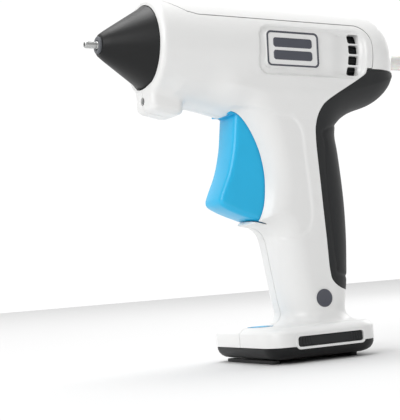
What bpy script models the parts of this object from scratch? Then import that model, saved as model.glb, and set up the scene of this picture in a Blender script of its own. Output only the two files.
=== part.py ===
"""Cordless hot-melt glue gun that stands on its battery base.

The nose points to -X, the left side faces -Y and the feet stand on z = 0, so the
origin is the middle of the bounding box's underside. Sizes are in metres.
The barrel is built about its own axis: x along the barrel towards the rear, z up
from the axis. BARREL then tips it nose up and lifts it to its height.
"""
from math import cos, pi, radians, sin, tan

import bmesh
import bpy
from mathutils import Matrix, Vector

MM = 0.001

# Clearances
GAP = 0.3 * MM           # between seated pieces
RUN = 0.5 * MM           # round pieces that slide or swing
SEAM = 0.15 * MM         # each housing half stays this far from the middle plane

# Glue stick
STICK_D = 7.2 * MM
STICK_L = 100.0 * MM
STICK_END = 85.0 * MM    # rear end of the stick, along the barrel axis

# Barrel
PITCH = radians(2.0)     # nose up
AXIS_Z = 141.2 * MM      # height of the barrel axis above the feet
BARREL_R = 22.0 * MM
BARREL_WALL = 2.4 * MM
NOSE_X = -57.5 * MM      # front face of the housing
REAR_X = 71.5 * MM       # crown of the rear dome
DOME_L = 14.0 * MM
DOME_WALL = 4.0 * MM     # wall at the rear: strap, gap and housing
FRONT_LIP = 3.0 * MM     # depth of the lip that holds the cone
LIP_ROUND = 1.8 * MM
ROOM_STEP_X = 33.0 * MM  # the wall is thicker behind this

# Nozzle
TIP_X = -85.0 * MM
TIP_D = 3.1 * MM
TIP_BORE = 1.6 * MM
CONE_R = 18.5 * MM       # cone radius at the housing
CONE_EDGE_R = 6.9 * MM
CONE_EDGE_X = -75.5 * MM
CONE_FRONT_X = -78.3 * MM
CONE_FRONT_R = 4.9 * MM
CONE_WALL = 1.6 * MM
COLLAR_R = 3.8 * MM
COLLAR_X = -79.3 * MM
COLLAR_L = 2.2 * MM
THREAD_R = 2.8 * MM
THREAD_X = -66.6 * MM    # inner end of the nozzle's thread

# Melt chamber
CHAMBER_R = 7.5 * MM
CHAMBER_X0 = -70.0 * MM
CHAMBER_X1 = -34.0 * MM
SPIGOT_R = 6.0 * MM
SPIGOT_L = 4.5 * MM
MELT_CLEAR = 0.3 * MM    # glue to bore, all round
BORE_X0 = -63.8 * MM
SLUG_X0 = -57.5 * MM
BLOCK = (-62.0 * MM, -46.0 * MM, 5.6 * MM, -11.6 * MM)   # heater block: x0, x1, half width, z0
HEATER = (14.0 * MM, 8.4 * MM, 2.0 * MM)
BLOCK_SKIN = 1.4 * MM
SLEEVE_X1 = -24.0 * MM
SLEEVE_R = 8.4 * MM
HOLDER_X = -43.6 * MM
HOLDER_T = 2.4 * MM
HOLDER_TURN = radians(4)
WINDOW_R = 3.4 * MM      # windows in the holder, for the leads
CLIP_X = -58.0 * MM
CLIP_W = 5.0 * MM
CLIP_T = 0.8 * MM

# Stick guide behind the carriage
GUIDE_X0 = 48.0 * MM
GUIDE_X1 = 66.6 * MM
GUIDE_R = 5.6 * MM
GUIDE_FLANGE_R = 12.0 * MM

# Grip (front and rear edges of the side outline, half width) at heights above the feet
SIDES = 28               # faces round the barrel
GRIP_SIDES = 20
GRIP_ROUND = 2.6         # superellipse power of the grip section
STRAP_T = 1.6 * MM
GRIP_WALL = 2.0 * MM

# Base
BASE_X0 = -20.4 * MM
BASE_X1 = 36.0 * MM
BASE_HALF_W = 30.5 * MM
BASE_CORNER = 10.0 * MM
DECK_Z = 15.8 * MM
BEVEL = 2.6 * MM
BASE_SPLIT = 7.4 * MM    # black cover below, white housing above
COVER_Z = 1.7 * MM       # underside of the black cover
BASE_WALL = 2.4 * MM

# Trigger
PIVOT_X = -14.0 * MM
PIVOT_Z = 120.0 * MM
PIN_D = 3.0 * MM
PIN_L = 32.4 * MM
SPRING_R = 3.2 * MM
SPRING_WIRE = 0.9 * MM
SPRING_PITCH = 1.2 * MM
SPRING_TURNS = 3
SLOT_Z0 = 61.6 * MM      # trigger slot in the housing
SLOT_Z1 = 113.6 * MM
TRIGGER_HALF_W = 8.5 * MM
TRIGGER_SWING = radians(14.0)
ARM_T = 2.2 * MM
CARRIAGE_L = 10.0 * MM
CARRIAGE_HALF_W = 5.8 * MM
CARRIAGE_HALF_H = 6.4 * MM
TRUNNION_D = 3.0 * MM
JAW_T = 1.2 * MM
# Side outline of the lever (x, z) in mm: finger face, lower tip, then the hidden rear
LEVER_FACE = ((-21.4, 113.0), (-20.8, 106.0), (-21.4, 97.0), (-24.6, 86.5), (-29.2, 77.2),
              (-31.0, 73.8))
LEVER_TIP = ((-30.4, 71.6), (-22.5, 67.2), (-12.5, 63.6), (-6.0, 63.6))
LEVER_REAR = ((-2.6, 66.5), (-1.0, 76.0), (-1.4, 90.0), (-5.0, 103.0), (-8.6, 112.0),
              (-9.2, 119.0), (-18.8, 119.0))

# Power button
BUTTON_X = -9.3 * MM
BUTTON_R = 4.1 * MM
RING_R = 5.9 * MM
BUTTON_TRAVEL = 0.8 * MM

# Screws: places of the housing screws (x, z) and of the base screws (x, y)
SCREW_D = 2.4 * MM
SCREW_HEAD_D = 4.8 * MM
SCREW_HEAD_T = 1.6 * MM
SCREW_SEAT = 8.0 * MM    # the heads seat this far from the middle plane
SCREW_REACH = 6.0 * MM   # thread beyond the middle plane
PILLAR_D = 8.0 * MM
PILLAR_END = 2.15 * MM   # below the outer surface, within every wall
HOUSING_SCREWS = ((-35.5, 124.5), (12.0, 123.6), (46.0, 121.3), (2.0, 54.0), (28.6, 17.8))
BASE_SCREWS = ((-12.5, 21.5), (27.5, 21.5))
BASE_SCREW_SEAT = 3.5 * MM
BASE_SCREW_TOP = 12.0 * MM

# Battery and electronics
CELL_D = 18.4 * MM
CELL_L = 65.0 * MM
CELL_FOOT = (16.5 * MM, 22.4 * MM)
CELL_LEAN = radians(4.9)
BOARD = (-16.0 * MM, 32.5 * MM, 13.0 * MM)   # x0, x1, half width
BOARD_Z = 8.0 * MM
BOARD_T = 1.6 * MM
PORT_Z = 9.9 * MM
PORT = (7.4 * MM, 9.0 * MM, 3.2 * MM)
SWITCH_H = 2.6 * MM
LEAD_D = 1.4 * MM
# Route of a heater lead (x, y, z) in mm, from the heater down to the board
LEAD_ROUTE = ((-45.3, 2.0, 132.8), (-44.0, 1.9, 130.4), (-41.0, 2.0, 129.6), (-36.0, 3.0, 130.4),
              (-30.5, 7.0, 129.6),
              (-24.0, 11.0, 127.0), (-14.0, 12.6, 126.0), (-2.0, 12.4, 120.6), (6.6, 11.2, 111.0),
              (8.2, 10.3, 99.0), (9.0, 10.2, 84.0), (9.2, 9.2, 68.0), (8.7, 6.0, 54.0),
              (8.4, 5.0, 40.0), (7.2, 5.0, 27.0), (7.4, 5.0, 21.5), (6.6, 5.0, 17.0),
              (4.6, 5.0, 12.8), (3.0, 5.0, 10.9))

# Feet
FOOT_T = 1.5 * MM
FRONT_FOOT = (-16.4 * MM, -12.4 * MM, 22.0 * MM)
REAR_FOOT = (24.0 * MM, 28.0 * MM, 22.0 * MM)

# Lamp boss under the nose, in barrel coordinates
BOSS_X0 = -58.6 * MM
BOSS_X1 = -43.4 * MM
BOSS_HALF_W = 9.3 * MM
BOSS_DROP = 31.0 * MM    # underside below the barrel axis
BOSS_TOP = 19.2 * MM     # upper end, below the mouth of the cone
BOSS_ROUND = 3.0 * MM
LAMP_Z = -24.0 * MM
LAMP_D = 3.3 * MM

# Side panel, badge and vent on the barrel (x0, x1, z0, z1), in barrel coordinates
PANEL = (-10.2 * MM, 46.6 * MM, -12.9 * MM, 8.9 * MM)
PANEL_CORNER = 6.0 * MM
PANEL_DEPTH = 1.1 * MM
BADGE = (-7.0 * MM, 21.0 * MM, -10.0 * MM, 7.0 * MM)
BADGE_T = 0.8 * MM
VENT_X0 = 37.8 * MM
VENT_X1 = 45.2 * MM
VENT_Z0 = -11.4 * MM
VENT_Z1 = 7.6 * MM
VENT_SLOTS = 4
VENT_GAP = 3.0 * MM
VENT_T = 1.4 * MM

# Round mark on the grip
MARK_X = 16.5 * MM
MARK_Z = 26.7 * MM
MARK_R = 4.2 * MM
MARK_T = 0.8 * MM

# Strips on the sides of the base
STRIP_X0 = -8.3 * MM
STRIP_X1 = 25.6 * MM
STRIP_Z0 = 7.1 * MM
STRIP_Z1 = 11.7 * MM
STRIP_RIM = 1.0 * MM
STRIP_T = 1.0 * MM

# Outline of the top cover and of the rear cap, beside the barrel axis (x, z) in mm
COVER_EDGE = ((-59.0, 24.5), (-50.5, 17.9), (-43.5, 13.6), (-38.5, 12.4))
CAP_SEAM_X = 43.0 * MM
SEAM_Z = 12.4 * MM
CAP_CORNER = ((43.0, 12.4), (46.4, 11.0), (49.0, 8.0), (50.2, 4.0), (50.4, -4.9))

# Front edge of the rubber strap (x, z) in mm, from under the cap down to the grip's foot
STRAP_EDGE = ((47.5, 141.0), (47.4, 131.0), (44.0, 127.0), (27.0, 117.6), (21.6, 112.6),
              (19.1, 106.0), (18.7, 99.0), (19.6, 80.0), (20.9, 57.0), (21.5, 39.0),
              (22.8, 34.0), (27.0, 31.0), (33.0, 29.6))

# height, front x, rear x, half width of the grip and the web above it, in mm
GRIP_STATIONS = (
    (11.5, -4.0, 34.8, 18.6),
    (16.2, -3.0, 34.2, 17.8),
    (18.4, 0.4, 32.8, 16.6),
    (21.5, 1.8, 32.6, 15.6),
    (28.0, 0.6, 34.2, 15.0),
    (41.0, -1.4, 36.0, 14.6),
    (53.0, -3.1, 37.2, 14.8),
    (59.0, -5.0, 37.4, 15.0),
    (62.0, -10.5, 37.4, 15.2),
    (63.5, -14.0, 37.4, 15.3),
    (72.0, -10.8, 37.2, 15.6),
    (80.0, -9.7, 36.9, 15.8),
    (88.0, -9.8, 36.3, 15.9),
    (96.0, -11.6, 35.6, 16.1),
    (103.0, -14.6, 35.2, 16.4),
    (108.0, -19.0, 36.6, 16.8),
    (111.3, -28.5, 41.0, 17.2),
    (113.5, -40.0, 46.0, 17.6),
    (117.0, -49.0, 53.0, 18.2),
    (122.0, -54.0, 62.5, 19.0),
    (128.0, -54.5, 67.0, 19.7),
    (131.5, -54.0, 66.5, 19.2),
    (135.5, -53.0, 60.0, 16.5),
)

BARREL = Matrix.Translation((0, 0, AXIS_Z)) @ Matrix.Rotation(PITCH, 4, 'Y')
WELD = 0.002 * MM        # points closer than this are one point
FLAT = radians(0.4)      # faces within this angle are one face
PROUD = 40 * MM          # how far a cutter runs past what it cuts


# ------------------------------------------------------------------ helpers

def clear_scene():
    for item in list(bpy.data.objects):
        bpy.data.objects.remove(item, do_unlink=True)


def material(name, colour, roughness=0.4, metallic=0.0):
    found = bpy.data.materials.get(name)
    if found:
        return found
    made = bpy.data.materials.new(name)
    made.use_nodes = True
    shader = made.node_tree.nodes["Principled BSDF"]
    shader.inputs["Base Color"].default_value = (*colour, 1.0)
    shader.inputs["Roughness"].default_value = roughness
    shader.inputs["Metallic"].default_value = metallic
    return made


def add_object(name, bm, mat=None, matrix=None, smooth=True):
    bmesh.ops.remove_doubles(bm, verts=bm.verts, dist=1e-7)
    bmesh.ops.recalc_face_normals(bm, faces=bm.faces)
    mesh = bpy.data.meshes.new(name)
    bm.to_mesh(mesh)
    bm.free()
    made = bpy.data.objects.new(name, mesh)
    bpy.context.scene.collection.objects.link(made)
    if matrix:
        made.matrix_world = matrix
    if mat:
        mesh.materials.append(mat)
    if smooth:
        mesh.shade_smooth()
        mesh.set_sharp_from_angle(angle=radians(35))
    bpy.context.view_layer.update()
    return made


def combine(target, tool, operation, keep_tool=False):
    """Apply a Boolean between two objects and drop the tool."""
    step = target.modifiers.new("step", 'BOOLEAN')
    step.operation = operation
    step.solver = 'EXACT'
    step.object = tool
    view = bpy.context.evaluated_depsgraph_get()
    mesh = bpy.data.meshes.new_from_object(target.evaluated_get(view))
    target.modifiers.clear()
    bm = bmesh.new()
    bm.from_mesh(mesh)
    bmesh.ops.remove_doubles(bm, verts=bm.verts, dist=WELD)
    bmesh.ops.dissolve_degenerate(bm, edges=bm.edges, dist=WELD)
    bm.to_mesh(mesh)
    bm.free()
    old = target.data
    target.data = mesh
    bpy.data.meshes.remove(old)
    if not keep_tool:
        bpy.data.objects.remove(tool, do_unlink=True)
    bpy.context.view_layer.update()
    return target


def cut(target, tool, keep_tool=False):
    return combine(target, tool, 'DIFFERENCE', keep_tool)


def join(target, tool, keep_tool=False):
    return combine(target, tool, 'UNION', keep_tool)


def keep_inside(target, tool, keep_tool=False):
    return combine(target, tool, 'INTERSECT', keep_tool)


def tidy_faces(target):
    """Merge the flat faces and straight edges that the Booleans split."""
    bm = bmesh.new()
    bm.from_mesh(target.data)
    bmesh.ops.dissolve_limit(bm, angle_limit=FLAT, verts=bm.verts, edges=bm.edges)
    bmesh.ops.triangulate(bm, faces=bm.faces)
    bm.to_mesh(target.data)
    bm.free()


def loft(rings):
    """Skin a list of rings that have the same number of points, with flat ends."""
    bm = bmesh.new()
    made = [[bm.verts.new(point) for point in ring] for ring in rings]
    count = len(made[0])
    for low, high in zip(made, made[1:]):
        for i in range(count):
            j = (i + 1) % count
            bm.faces.new((low[i], low[j], high[j], high[i]))
    bm.faces.new(list(reversed(made[0])))
    bm.faces.new(made[-1])
    return bm


def turned(profile, sides=32, closed=False):
    """Turn (x, radius) points about the x axis; a closed profile makes a ring."""
    bm = bmesh.new()
    rows = []
    for k in range(sides):
        turn = 2 * pi * k / sides
        rows.append([bm.verts.new((x, r * sin(turn), r * cos(turn))) for x, r in profile])
    last = len(profile) if closed else len(profile) - 1
    for k in range(sides):
        a, b = rows[k], rows[(k + 1) % sides]
        for i in range(last):
            j = (i + 1) % len(profile)
            if profile[i][1] == 0 and profile[j][1] == 0:
                continue
            bm.faces.new((a[i], a[j], b[j], b[i]))
    bmesh.ops.remove_doubles(bm, verts=bm.verts, dist=1e-7)
    bmesh.ops.dissolve_degenerate(bm, edges=bm.edges, dist=1e-7)
    return bm


def prism(outline, y0, y1):
    """Extrude an outline of (x, z) points from y0 to y1."""
    return loft([[(x, y, z) for x, z in outline] for y in (y0, y1)])


def slab(outline, z0, z1):
    """Extrude an outline of (x, y) points from z0 to z1."""
    return loft([[(x, y, z) for x, y in outline] for z in (z0, z1)])


def box(x0, x1, y0, y1, z0, z1):
    return slab([(x0, y0), (x1, y0), (x1, y1), (x0, y1)], z0, z1)


def rod(radius, length, sides=20):
    """A solid rod along x from 0 to length."""
    return turned([(0, 0), (0, radius), (length, radius), (length, 0)], sides)


def rounded(u0, u1, v0, v1, radius, steps=4):
    """Outline of a rectangle with round corners, anticlockwise."""
    points = []
    corners = ((u1 - radius, v1 - radius, 0), (u0 + radius, v1 - radius, 1),
               (u0 + radius, v0 + radius, 2), (u1 - radius, v0 + radius, 3))
    for cu, cv, quarter in corners:
        for k in range(steps + 1):
            turn = (quarter + k / steps) * pi / 2
            points.append((cu + radius * cos(turn), cv + radius * sin(turn)))
    return points


def smooth_line(points, per_span=4):
    """Points of a Catmull-Rom curve through the given (x, z) points."""
    out = []
    ends = [points[0], *points, points[-1]]
    for a, b, c, d in zip(ends, ends[1:], ends[2:], ends[3:]):
        for k in range(per_span):
            t = k / per_span
            out.append(tuple(0.5 * (2 * q + (r - p) * t + (2 * p - 5 * q + 4 * r - s) * t * t
                                    + (3 * q - p - 3 * r + s) * t ** 3)
                             for p, q, r, s in zip(a, b, c, d)))
    out.append(points[-1])
    return out


def moved_out(points, grow):
    """Move a line of (x, z) points sideways, to the right of the way it runs."""
    out = []
    last = len(points) - 1
    for k, (x, z) in enumerate(points):
        x0, z0 = points[max(k - 1, 0)]
        x1, z1 = points[min(k + 1, last)]
        ahead = Vector((x1 - x0, z1 - z0)).normalized()
        out.append((x + ahead.y * grow, z - ahead.x * grow))
    return out


# ------------------------------------------------------------------ outer forms

def dome_radius(x, radius, start, end):
    """Superellipse dome: full radius at start, closed at end."""
    share = min(max((x - start) / (end - start), 0.0), 1.0)
    return radius * (1 - share ** 2.3) ** (1 / 2.3)


def barrel_form(inset, name="barrel_form"):
    """Barrel solid: round front edge, straight tube, domed rear, shrunk by inset."""
    radius = BARREL_R - inset
    start = REAR_X - DOME_L
    end = REAR_X - inset
    profile = [(NOSE_X + inset, 0), (NOSE_X + inset, radius - LIP_ROUND)]
    for k in range(1, 4):
        turn = k * pi / 6
        profile.append((NOSE_X + inset + LIP_ROUND * (1 - cos(turn)),
                        radius - LIP_ROUND * (1 - sin(turn))))
    for share in (0.0, 0.35, 0.6, 0.8, 0.94):
        x = start + share * (end - start)
        profile.append((x, dome_radius(x, radius, start, end)))
    profile.append((end, 0))
    return add_object(name, turned(profile, SIDES), matrix=BARREL)


def grip_form(inset, name="grip_form"):
    """Grip and web as level superellipse sections, shrunk by inset."""
    rings = []
    for height, front, rear, half in GRIP_STATIONS:
        middle = (front + rear) / 2 * MM
        long_r = (rear - front) / 2 * MM - inset
        wide_r = half * MM - inset
        ring = []
        for k in range(GRIP_SIDES):
            turn = 2 * pi * k / GRIP_SIDES
            c, s = cos(turn), sin(turn)
            ring.append((middle + long_r * abs(c) ** (2 / GRIP_ROUND) * (1 if c > 0 else -1),
                         wide_r * abs(s) ** (2 / GRIP_ROUND) * (1 if s > 0 else -1),
                         height * MM))
        rings.append(ring)
    bm = loft(rings)
    bmesh.ops.triangulate(bm, faces=bm.faces, quad_method='FIXED')
    return add_object(name, bm)


def base_outline(inset):
    return rounded(BASE_X0 + inset, BASE_X1 - inset, -BASE_HALF_W + inset,
                   BASE_HALF_W - inset, max(BASE_CORNER - inset, 1 * MM), 4)


def base_form(steps, name="base_form"):
    """Stack of (height, inset) outlines."""
    rings = [[(x, y, z) for x, y in base_outline(inset)] for z, inset in steps]
    return add_object(name, loft(rings))


def strip_rim(grow, side):
    """White frame round the side strip; it dips below the housing's lower edge."""
    outline = rounded(STRIP_X0 - STRIP_RIM - grow, STRIP_X1 + STRIP_RIM + grow,
                      STRIP_Z0 - STRIP_RIM - grow, STRIP_Z1 + STRIP_RIM + grow, 1.8 * MM, 3)
    y0 = side * (BASE_HALF_W - 3.0 * MM - grow)
    y1 = side * (BASE_HALF_W + (PROUD if grow else 0.3 * MM))
    return add_object("strip_rim", prism(outline, y0, y1))


def nose_boss(inset, name="nose_boss"):
    """Lamp housing under the nose: a box with round edges."""
    x0, x1 = BOSS_X0 + inset, BOSS_X1 - inset
    half = BOSS_HALF_W - inset
    bm = box(x0, x1, -half, half, -BOSS_DROP + inset, -BOSS_TOP)
    bmesh.ops.recalc_face_normals(bm, faces=bm.faces)
    edges = [e for e in bm.edges if min(v.co.z for v in e.verts) < -BOSS_DROP + inset + 1e-6
             or abs(e.verts[0].co.z - e.verts[1].co.z) > 1 * MM]
    bmesh.ops.bevel(bm, geom=edges, offset=BOSS_ROUND - inset / 2, segments=3,
                    profile=0.5, affect='EDGES')
    return add_object(name, bm, matrix=BARREL)


def cover_zone(grow, name="cover_zone"):
    """Prism over the top cover, in barrel coordinates."""
    outline = [(x * MM, z * MM - grow) for x, z in COVER_EDGE]
    outline += [(CAP_SEAM_X + grow, SEAM_Z - grow), (CAP_SEAM_X + grow, PROUD),
                (COVER_EDGE[0][0] * MM, PROUD)]
    return add_object(name, prism(outline, -PROUD, PROUD), matrix=BARREL)


def cap_zone(grow, name="cap_zone"):
    """Prism over the rear cap, in barrel coordinates."""
    outline = [(x * MM - grow, z * MM - grow) for x, z in CAP_CORNER]
    outline += [(REAR_X + PROUD, CAP_CORNER[-1][1] * MM - grow), (REAR_X + PROUD, PROUD),
                (CAP_SEAM_X - grow, PROUD)]
    return add_object(name, prism(outline, -PROUD, PROUD), matrix=BARREL)


def strap_zone(grow, name="strap_zone"):
    """Prism over the rubber strap, up to the cap's lower edge."""
    outline = moved_out([(x * MM, z * MM) for x, z in smooth_line(STRAP_EDGE, 2)], grow)
    outline += [(REAR_X + PROUD, STRAP_EDGE[-1][1] * MM - grow), (REAR_X + PROUD, AXIS_Z)]
    return add_object(name, prism(outline, -PROUD, PROUD))


def below_cap(drop, name="below_cap"):
    """Everything under the rear cap's lower edge, less a drop."""
    top = CAP_CORNER[-1][1] * MM - drop
    return add_object(name, box(-2 * PROUD, REAR_X + PROUD, -PROUD, PROUD, -5 * PROUD, top),
                      matrix=BARREL)


# ------------------------------------------------------------------ housing

def full_body(inset):
    return join(barrel_form(inset), grip_form(inset))


def cavity():
    """Room inside the housing: barrel, grip and base, joined."""
    start = REAR_X - DOME_L
    end = REAR_X - DOME_WALL
    wide = BARREL_R - BARREL_WALL
    tight = BARREL_R - DOME_WALL
    front = NOSE_X + FRONT_LIP
    profile = [(front, 0), (front, wide), (ROOM_STEP_X, wide), (ROOM_STEP_X + 1.5 * MM, tight)]
    for share in (0.0, 0.35, 0.6, 0.8, 0.94):
        x = start + share * (end - start)
        profile.append((x, dome_radius(x, tight, start, end)))
    profile.append((end, 0))
    room = add_object("room", turned(profile, SIDES), matrix=BARREL)
    join(room, grip_form(STRAP_T + GAP + GRIP_WALL))
    join(room, base_form([(BASE_SPLIT - PROUD, BASE_WALL), (DECK_Z - BASE_WALL, BASE_WALL)]))
    return join(room, nose_boss(BARREL_WALL * 0.8))


def vent_outline(grow):
    return rounded(VENT_X0 - grow, VENT_X1 + grow, VENT_Z0 - grow, VENT_Z1 + grow, 1.2 * MM, 2)


def wall_plate(name, outline, r0, r1, side, mat=None):
    """Piece of the barrel's wall between two radii, inside an outline on one side."""
    long_ring = [(-2 * PROUD, r0), (-2 * PROUD, r1), (2 * PROUD, r1), (2 * PROUD, r0)]
    plate = add_object(name, turned(long_ring, 48, closed=True), mat, BARREL)
    window = prism(outline, side * 1 * MM, side * PROUD)
    return keep_inside(plate, add_object("window", window, matrix=BARREL))


def half_space(side):
    y0, y1 = (-2 * PROUD, -SEAM) if side < 0 else (SEAM, 2 * PROUD)
    return add_object("half_space", box(-0.2, 0.2, y0, y1, -0.05, 0.3))


def grip_half_width(x, z):
    """Half width of the grip's outside at a place on its side."""
    low = max(s for s in GRIP_STATIONS if s[0] * MM <= z)
    high = min(s for s in GRIP_STATIONS if s[0] * MM > z)
    share = (z / MM - low[0]) / (high[0] - low[0])
    front, rear, half = [a + share * (b - a) for a, b in zip(low[1:], high[1:])]
    off = abs(x / MM - (front + rear) / 2) / ((rear - front) / 2)
    return half * (1 - off ** GRIP_ROUND) ** (1 / GRIP_ROUND) * MM


def round_slab(x, y, radius, z0, z1, sides=12):
    """Upright solid disc or post."""
    ring = [(x + radius * cos(2 * pi * k / sides), y + radius * sin(2 * pi * k / sides))
            for k in range(sides)]
    return slab(ring, z0, z1)


def sideways(x, z, radius, y0, y1, sides=12):
    """Solid rod along y."""
    ring = [(x + radius * cos(2 * pi * k / sides), z + radius * sin(2 * pi * k / sides))
            for k in range(sides)]
    return prism(ring, y0, y1)


def housing_outside():
    shell = full_body(0)
    join(shell, base_form([(BASE_SPLIT, 0.3 * MM), (DECK_Z - BEVEL, 0), (DECK_Z, BEVEL * 1.2)]))
    join(shell, strip_rim(0, -1))
    join(shell, nose_boss(0))
    cut(shell, keep_inside(strap_zone(GAP), below_cap(0)))
    join(shell, full_body(STRAP_T + GAP))
    cut(shell, cap_zone(GAP))
    cut(shell, cover_zone(GAP))
    return keep_inside(shell, half_space(-1))


def add_pillars(shell):
    """Screw pillars that end inside the wall, clear of its outer face."""
    for x, z in HOUSING_SCREWS:
        pillar = add_object("pillar", sideways(x * MM, z * MM, PILLAR_D / 2, -BARREL_R, -SEAM))
        join(shell, keep_inside(pillar, full_body(PILLAR_END)))
    for x, y in BASE_SCREWS:
        join(shell, add_object("pillar", round_slab(x * MM, -y * MM, PILLAR_D / 2,
                                                    BASE_SPLIT + GAP, DECK_Z - BASE_WALL / 2)))


def cut_nose(shell):
    mouth = [(NOSE_X - 1 * MM, 0), (NOSE_X - 1 * MM, CONE_R + GAP),
             (NOSE_X + FRONT_LIP + 1 * MM, CONE_R + GAP), (NOSE_X + FRONT_LIP + 1 * MM, 0)]
    cut(shell, add_object("mouth", turned(mouth, SIDES), matrix=BARREL))
    hole = rod(LAMP_D / 2 + GAP, 12 * MM, 16)
    cut(shell, add_object("lamp", hole, matrix=BARREL @ Matrix.Translation(
        (BOSS_X0 - 1 * MM, 0, LAMP_Z))))


def cut_side(shell):
    """Recessed panel, vent window, round mark and strip recess on the left side."""
    outline = rounded(*PANEL, PANEL_CORNER)
    cut(shell, wall_plate("panel", outline, BARREL_R - PANEL_DEPTH, BARREL_R + 2 * MM, -1))
    cut(shell, add_object("vent", prism(vent_outline(0), -5 * MM, -PROUD), matrix=BARREL))
    floor = grip_half_width(MARK_X, MARK_Z) - MARK_T - GAP
    cut(shell, add_object("mark", sideways(MARK_X, MARK_Z, MARK_R, -floor, -PROUD, 24)))
    outline = rounded(STRIP_X0, STRIP_X1, STRIP_Z0, STRIP_Z1, 1.2 * MM, 3)
    cut(shell, add_object("strip", prism(outline, -BASE_HALF_W + STRIP_T, -PROUD)))


def cut_middle(shell):
    """Trigger slot, pin hole, button hole, charge port and base screw holes."""
    front = PIVOT_X - 9.4 * MM
    slot = [(front, SLOT_Z1), (front, SLOT_Z1 - 9 * MM), (-PROUD, SLOT_Z1 - 13 * MM),
            (-PROUD, SLOT_Z0), (8 * MM, SLOT_Z0), (8 * MM, SLOT_Z1)]
    half = TRIGGER_HALF_W + RUN
    cut(shell, add_object("slot", prism(slot, -half, half)))
    cut(shell, add_object("pin", sideways(PIVOT_X, PIVOT_Z, PIN_D / 2 + GAP / 2,
                                          -PIN_L / 2 - GAP, 0)))
    cut(shell, add_object("button", round_slab(BUTTON_X, 0, RING_R + GAP, DECK_Z - 6 * MM,
                                               DECK_Z + PROUD, 24)))
    cut(shell, add_object("port", box(BASE_X1 - 2 * BASE_WALL, BASE_X1 + PROUD,
                                      -PORT[1] / 2 - GAP, PORT[1] / 2 + GAP,
                                      PORT_Z - GAP, PORT_Z + PORT[2] + GAP)))
    for x, y in BASE_SCREWS:
        cut(shell, add_object("hole", round_slab(x * MM, -y * MM, SCREW_D / 2 + GAP, 0,
                                                 BASE_SCREW_TOP + GAP)))


def mirrored(source, name):
    """Copy of a solid reflected in the middle plane."""
    mesh = source.data.copy()
    bm = bmesh.new()
    bm.from_mesh(mesh)
    bmesh.ops.scale(bm, vec=(1, -1, 1), verts=bm.verts)
    bmesh.ops.reverse_faces(bm, faces=bm.faces)
    bm.to_mesh(mesh)
    bm.free()
    made = bpy.data.objects.new(name, mesh)
    bpy.context.scene.collection.objects.link(made)
    made.matrix_world = source.matrix_world
    bpy.context.view_layer.update()
    return made


def to_world(target):
    """Move an object's placing into its mesh."""
    target.data.transform(target.matrix_world)
    target.matrix_world = Matrix.Identity(4)
    bpy.context.view_layer.update()
    return target


def housings(white):
    left = housing_outside()
    cut(left, cavity())
    add_pillars(left)
    cut_nose(left)
    cut_side(left)
    cut_middle(left)
    to_world(left)
    left.name = "left_housing"
    right = mirrored(left, "right_housing")
    for x, z in HOUSING_SCREWS:
        cut(left, add_object("hole", sideways(x * MM, z * MM, SCREW_D / 2 + GAP,
                                              -SCREW_REACH - GAP, 0)))
        cut(right, add_object("hole", sideways(x * MM, z * MM, SCREW_D / 2 + GAP,
                                               0, SCREW_SEAT + 1 * MM)))
        cut(right, add_object("well", sideways(x * MM, z * MM, SCREW_HEAD_D / 2 + GAP,
                                               SCREW_SEAT, PROUD)))
    for shell in (left, right):
        tidy_faces(shell)
        shell.data.materials.clear()
        shell.data.materials.append(white)
        shell.data.shade_smooth()
        shell.data.set_sharp_from_angle(angle=radians(35))


def top_cover(white):
    piece = barrel_form(0, "top_cover")
    keep_inside(piece, cover_zone(0))
    inner = BARREL_R - BARREL_WALL
    core = [(-3 * PROUD, 0), (-3 * PROUD, inner), (3 * PROUD, inner), (3 * PROUD, 0)]
    cut(piece, add_object("core", turned(core, SIDES), matrix=BARREL))
    piece.data.materials.append(white)


def rear_end_cap(white):
    piece = barrel_form(0, "rear_end_cap")
    keep_inside(piece, cap_zone(0))
    cut(piece, barrel_form(BARREL_WALL))
    hole = rod(STICK_D / 2 + RUN, PROUD, 24)
    cut(piece, add_object("hole", hole, matrix=BARREL @ Matrix.Translation(
        (REAR_X - PROUD / 2, 0, 0))))
    tidy_faces(piece)
    piece.data.materials.append(white)


def rubber_backstrap(rubber):
    piece = full_body(0)
    keep_inside(piece, strap_zone(0))
    keep_inside(piece, below_cap(GAP))
    cut(piece, full_body(STRAP_T))
    to_world(piece)
    piece.name = "rubber_backstrap"
    tidy_faces(piece)
    piece.data.materials.clear()
    piece.data.materials.append(rubber)


# ------------------------------------------------------------------ nozzle and heater

def cone_line(x):
    """Outer radius of the main cone at x."""
    share = (x - CONE_EDGE_X) / (NOSE_X - CONE_EDGE_X)
    return CONE_EDGE_R + share * (CONE_R - CONE_EDGE_R)


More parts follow.
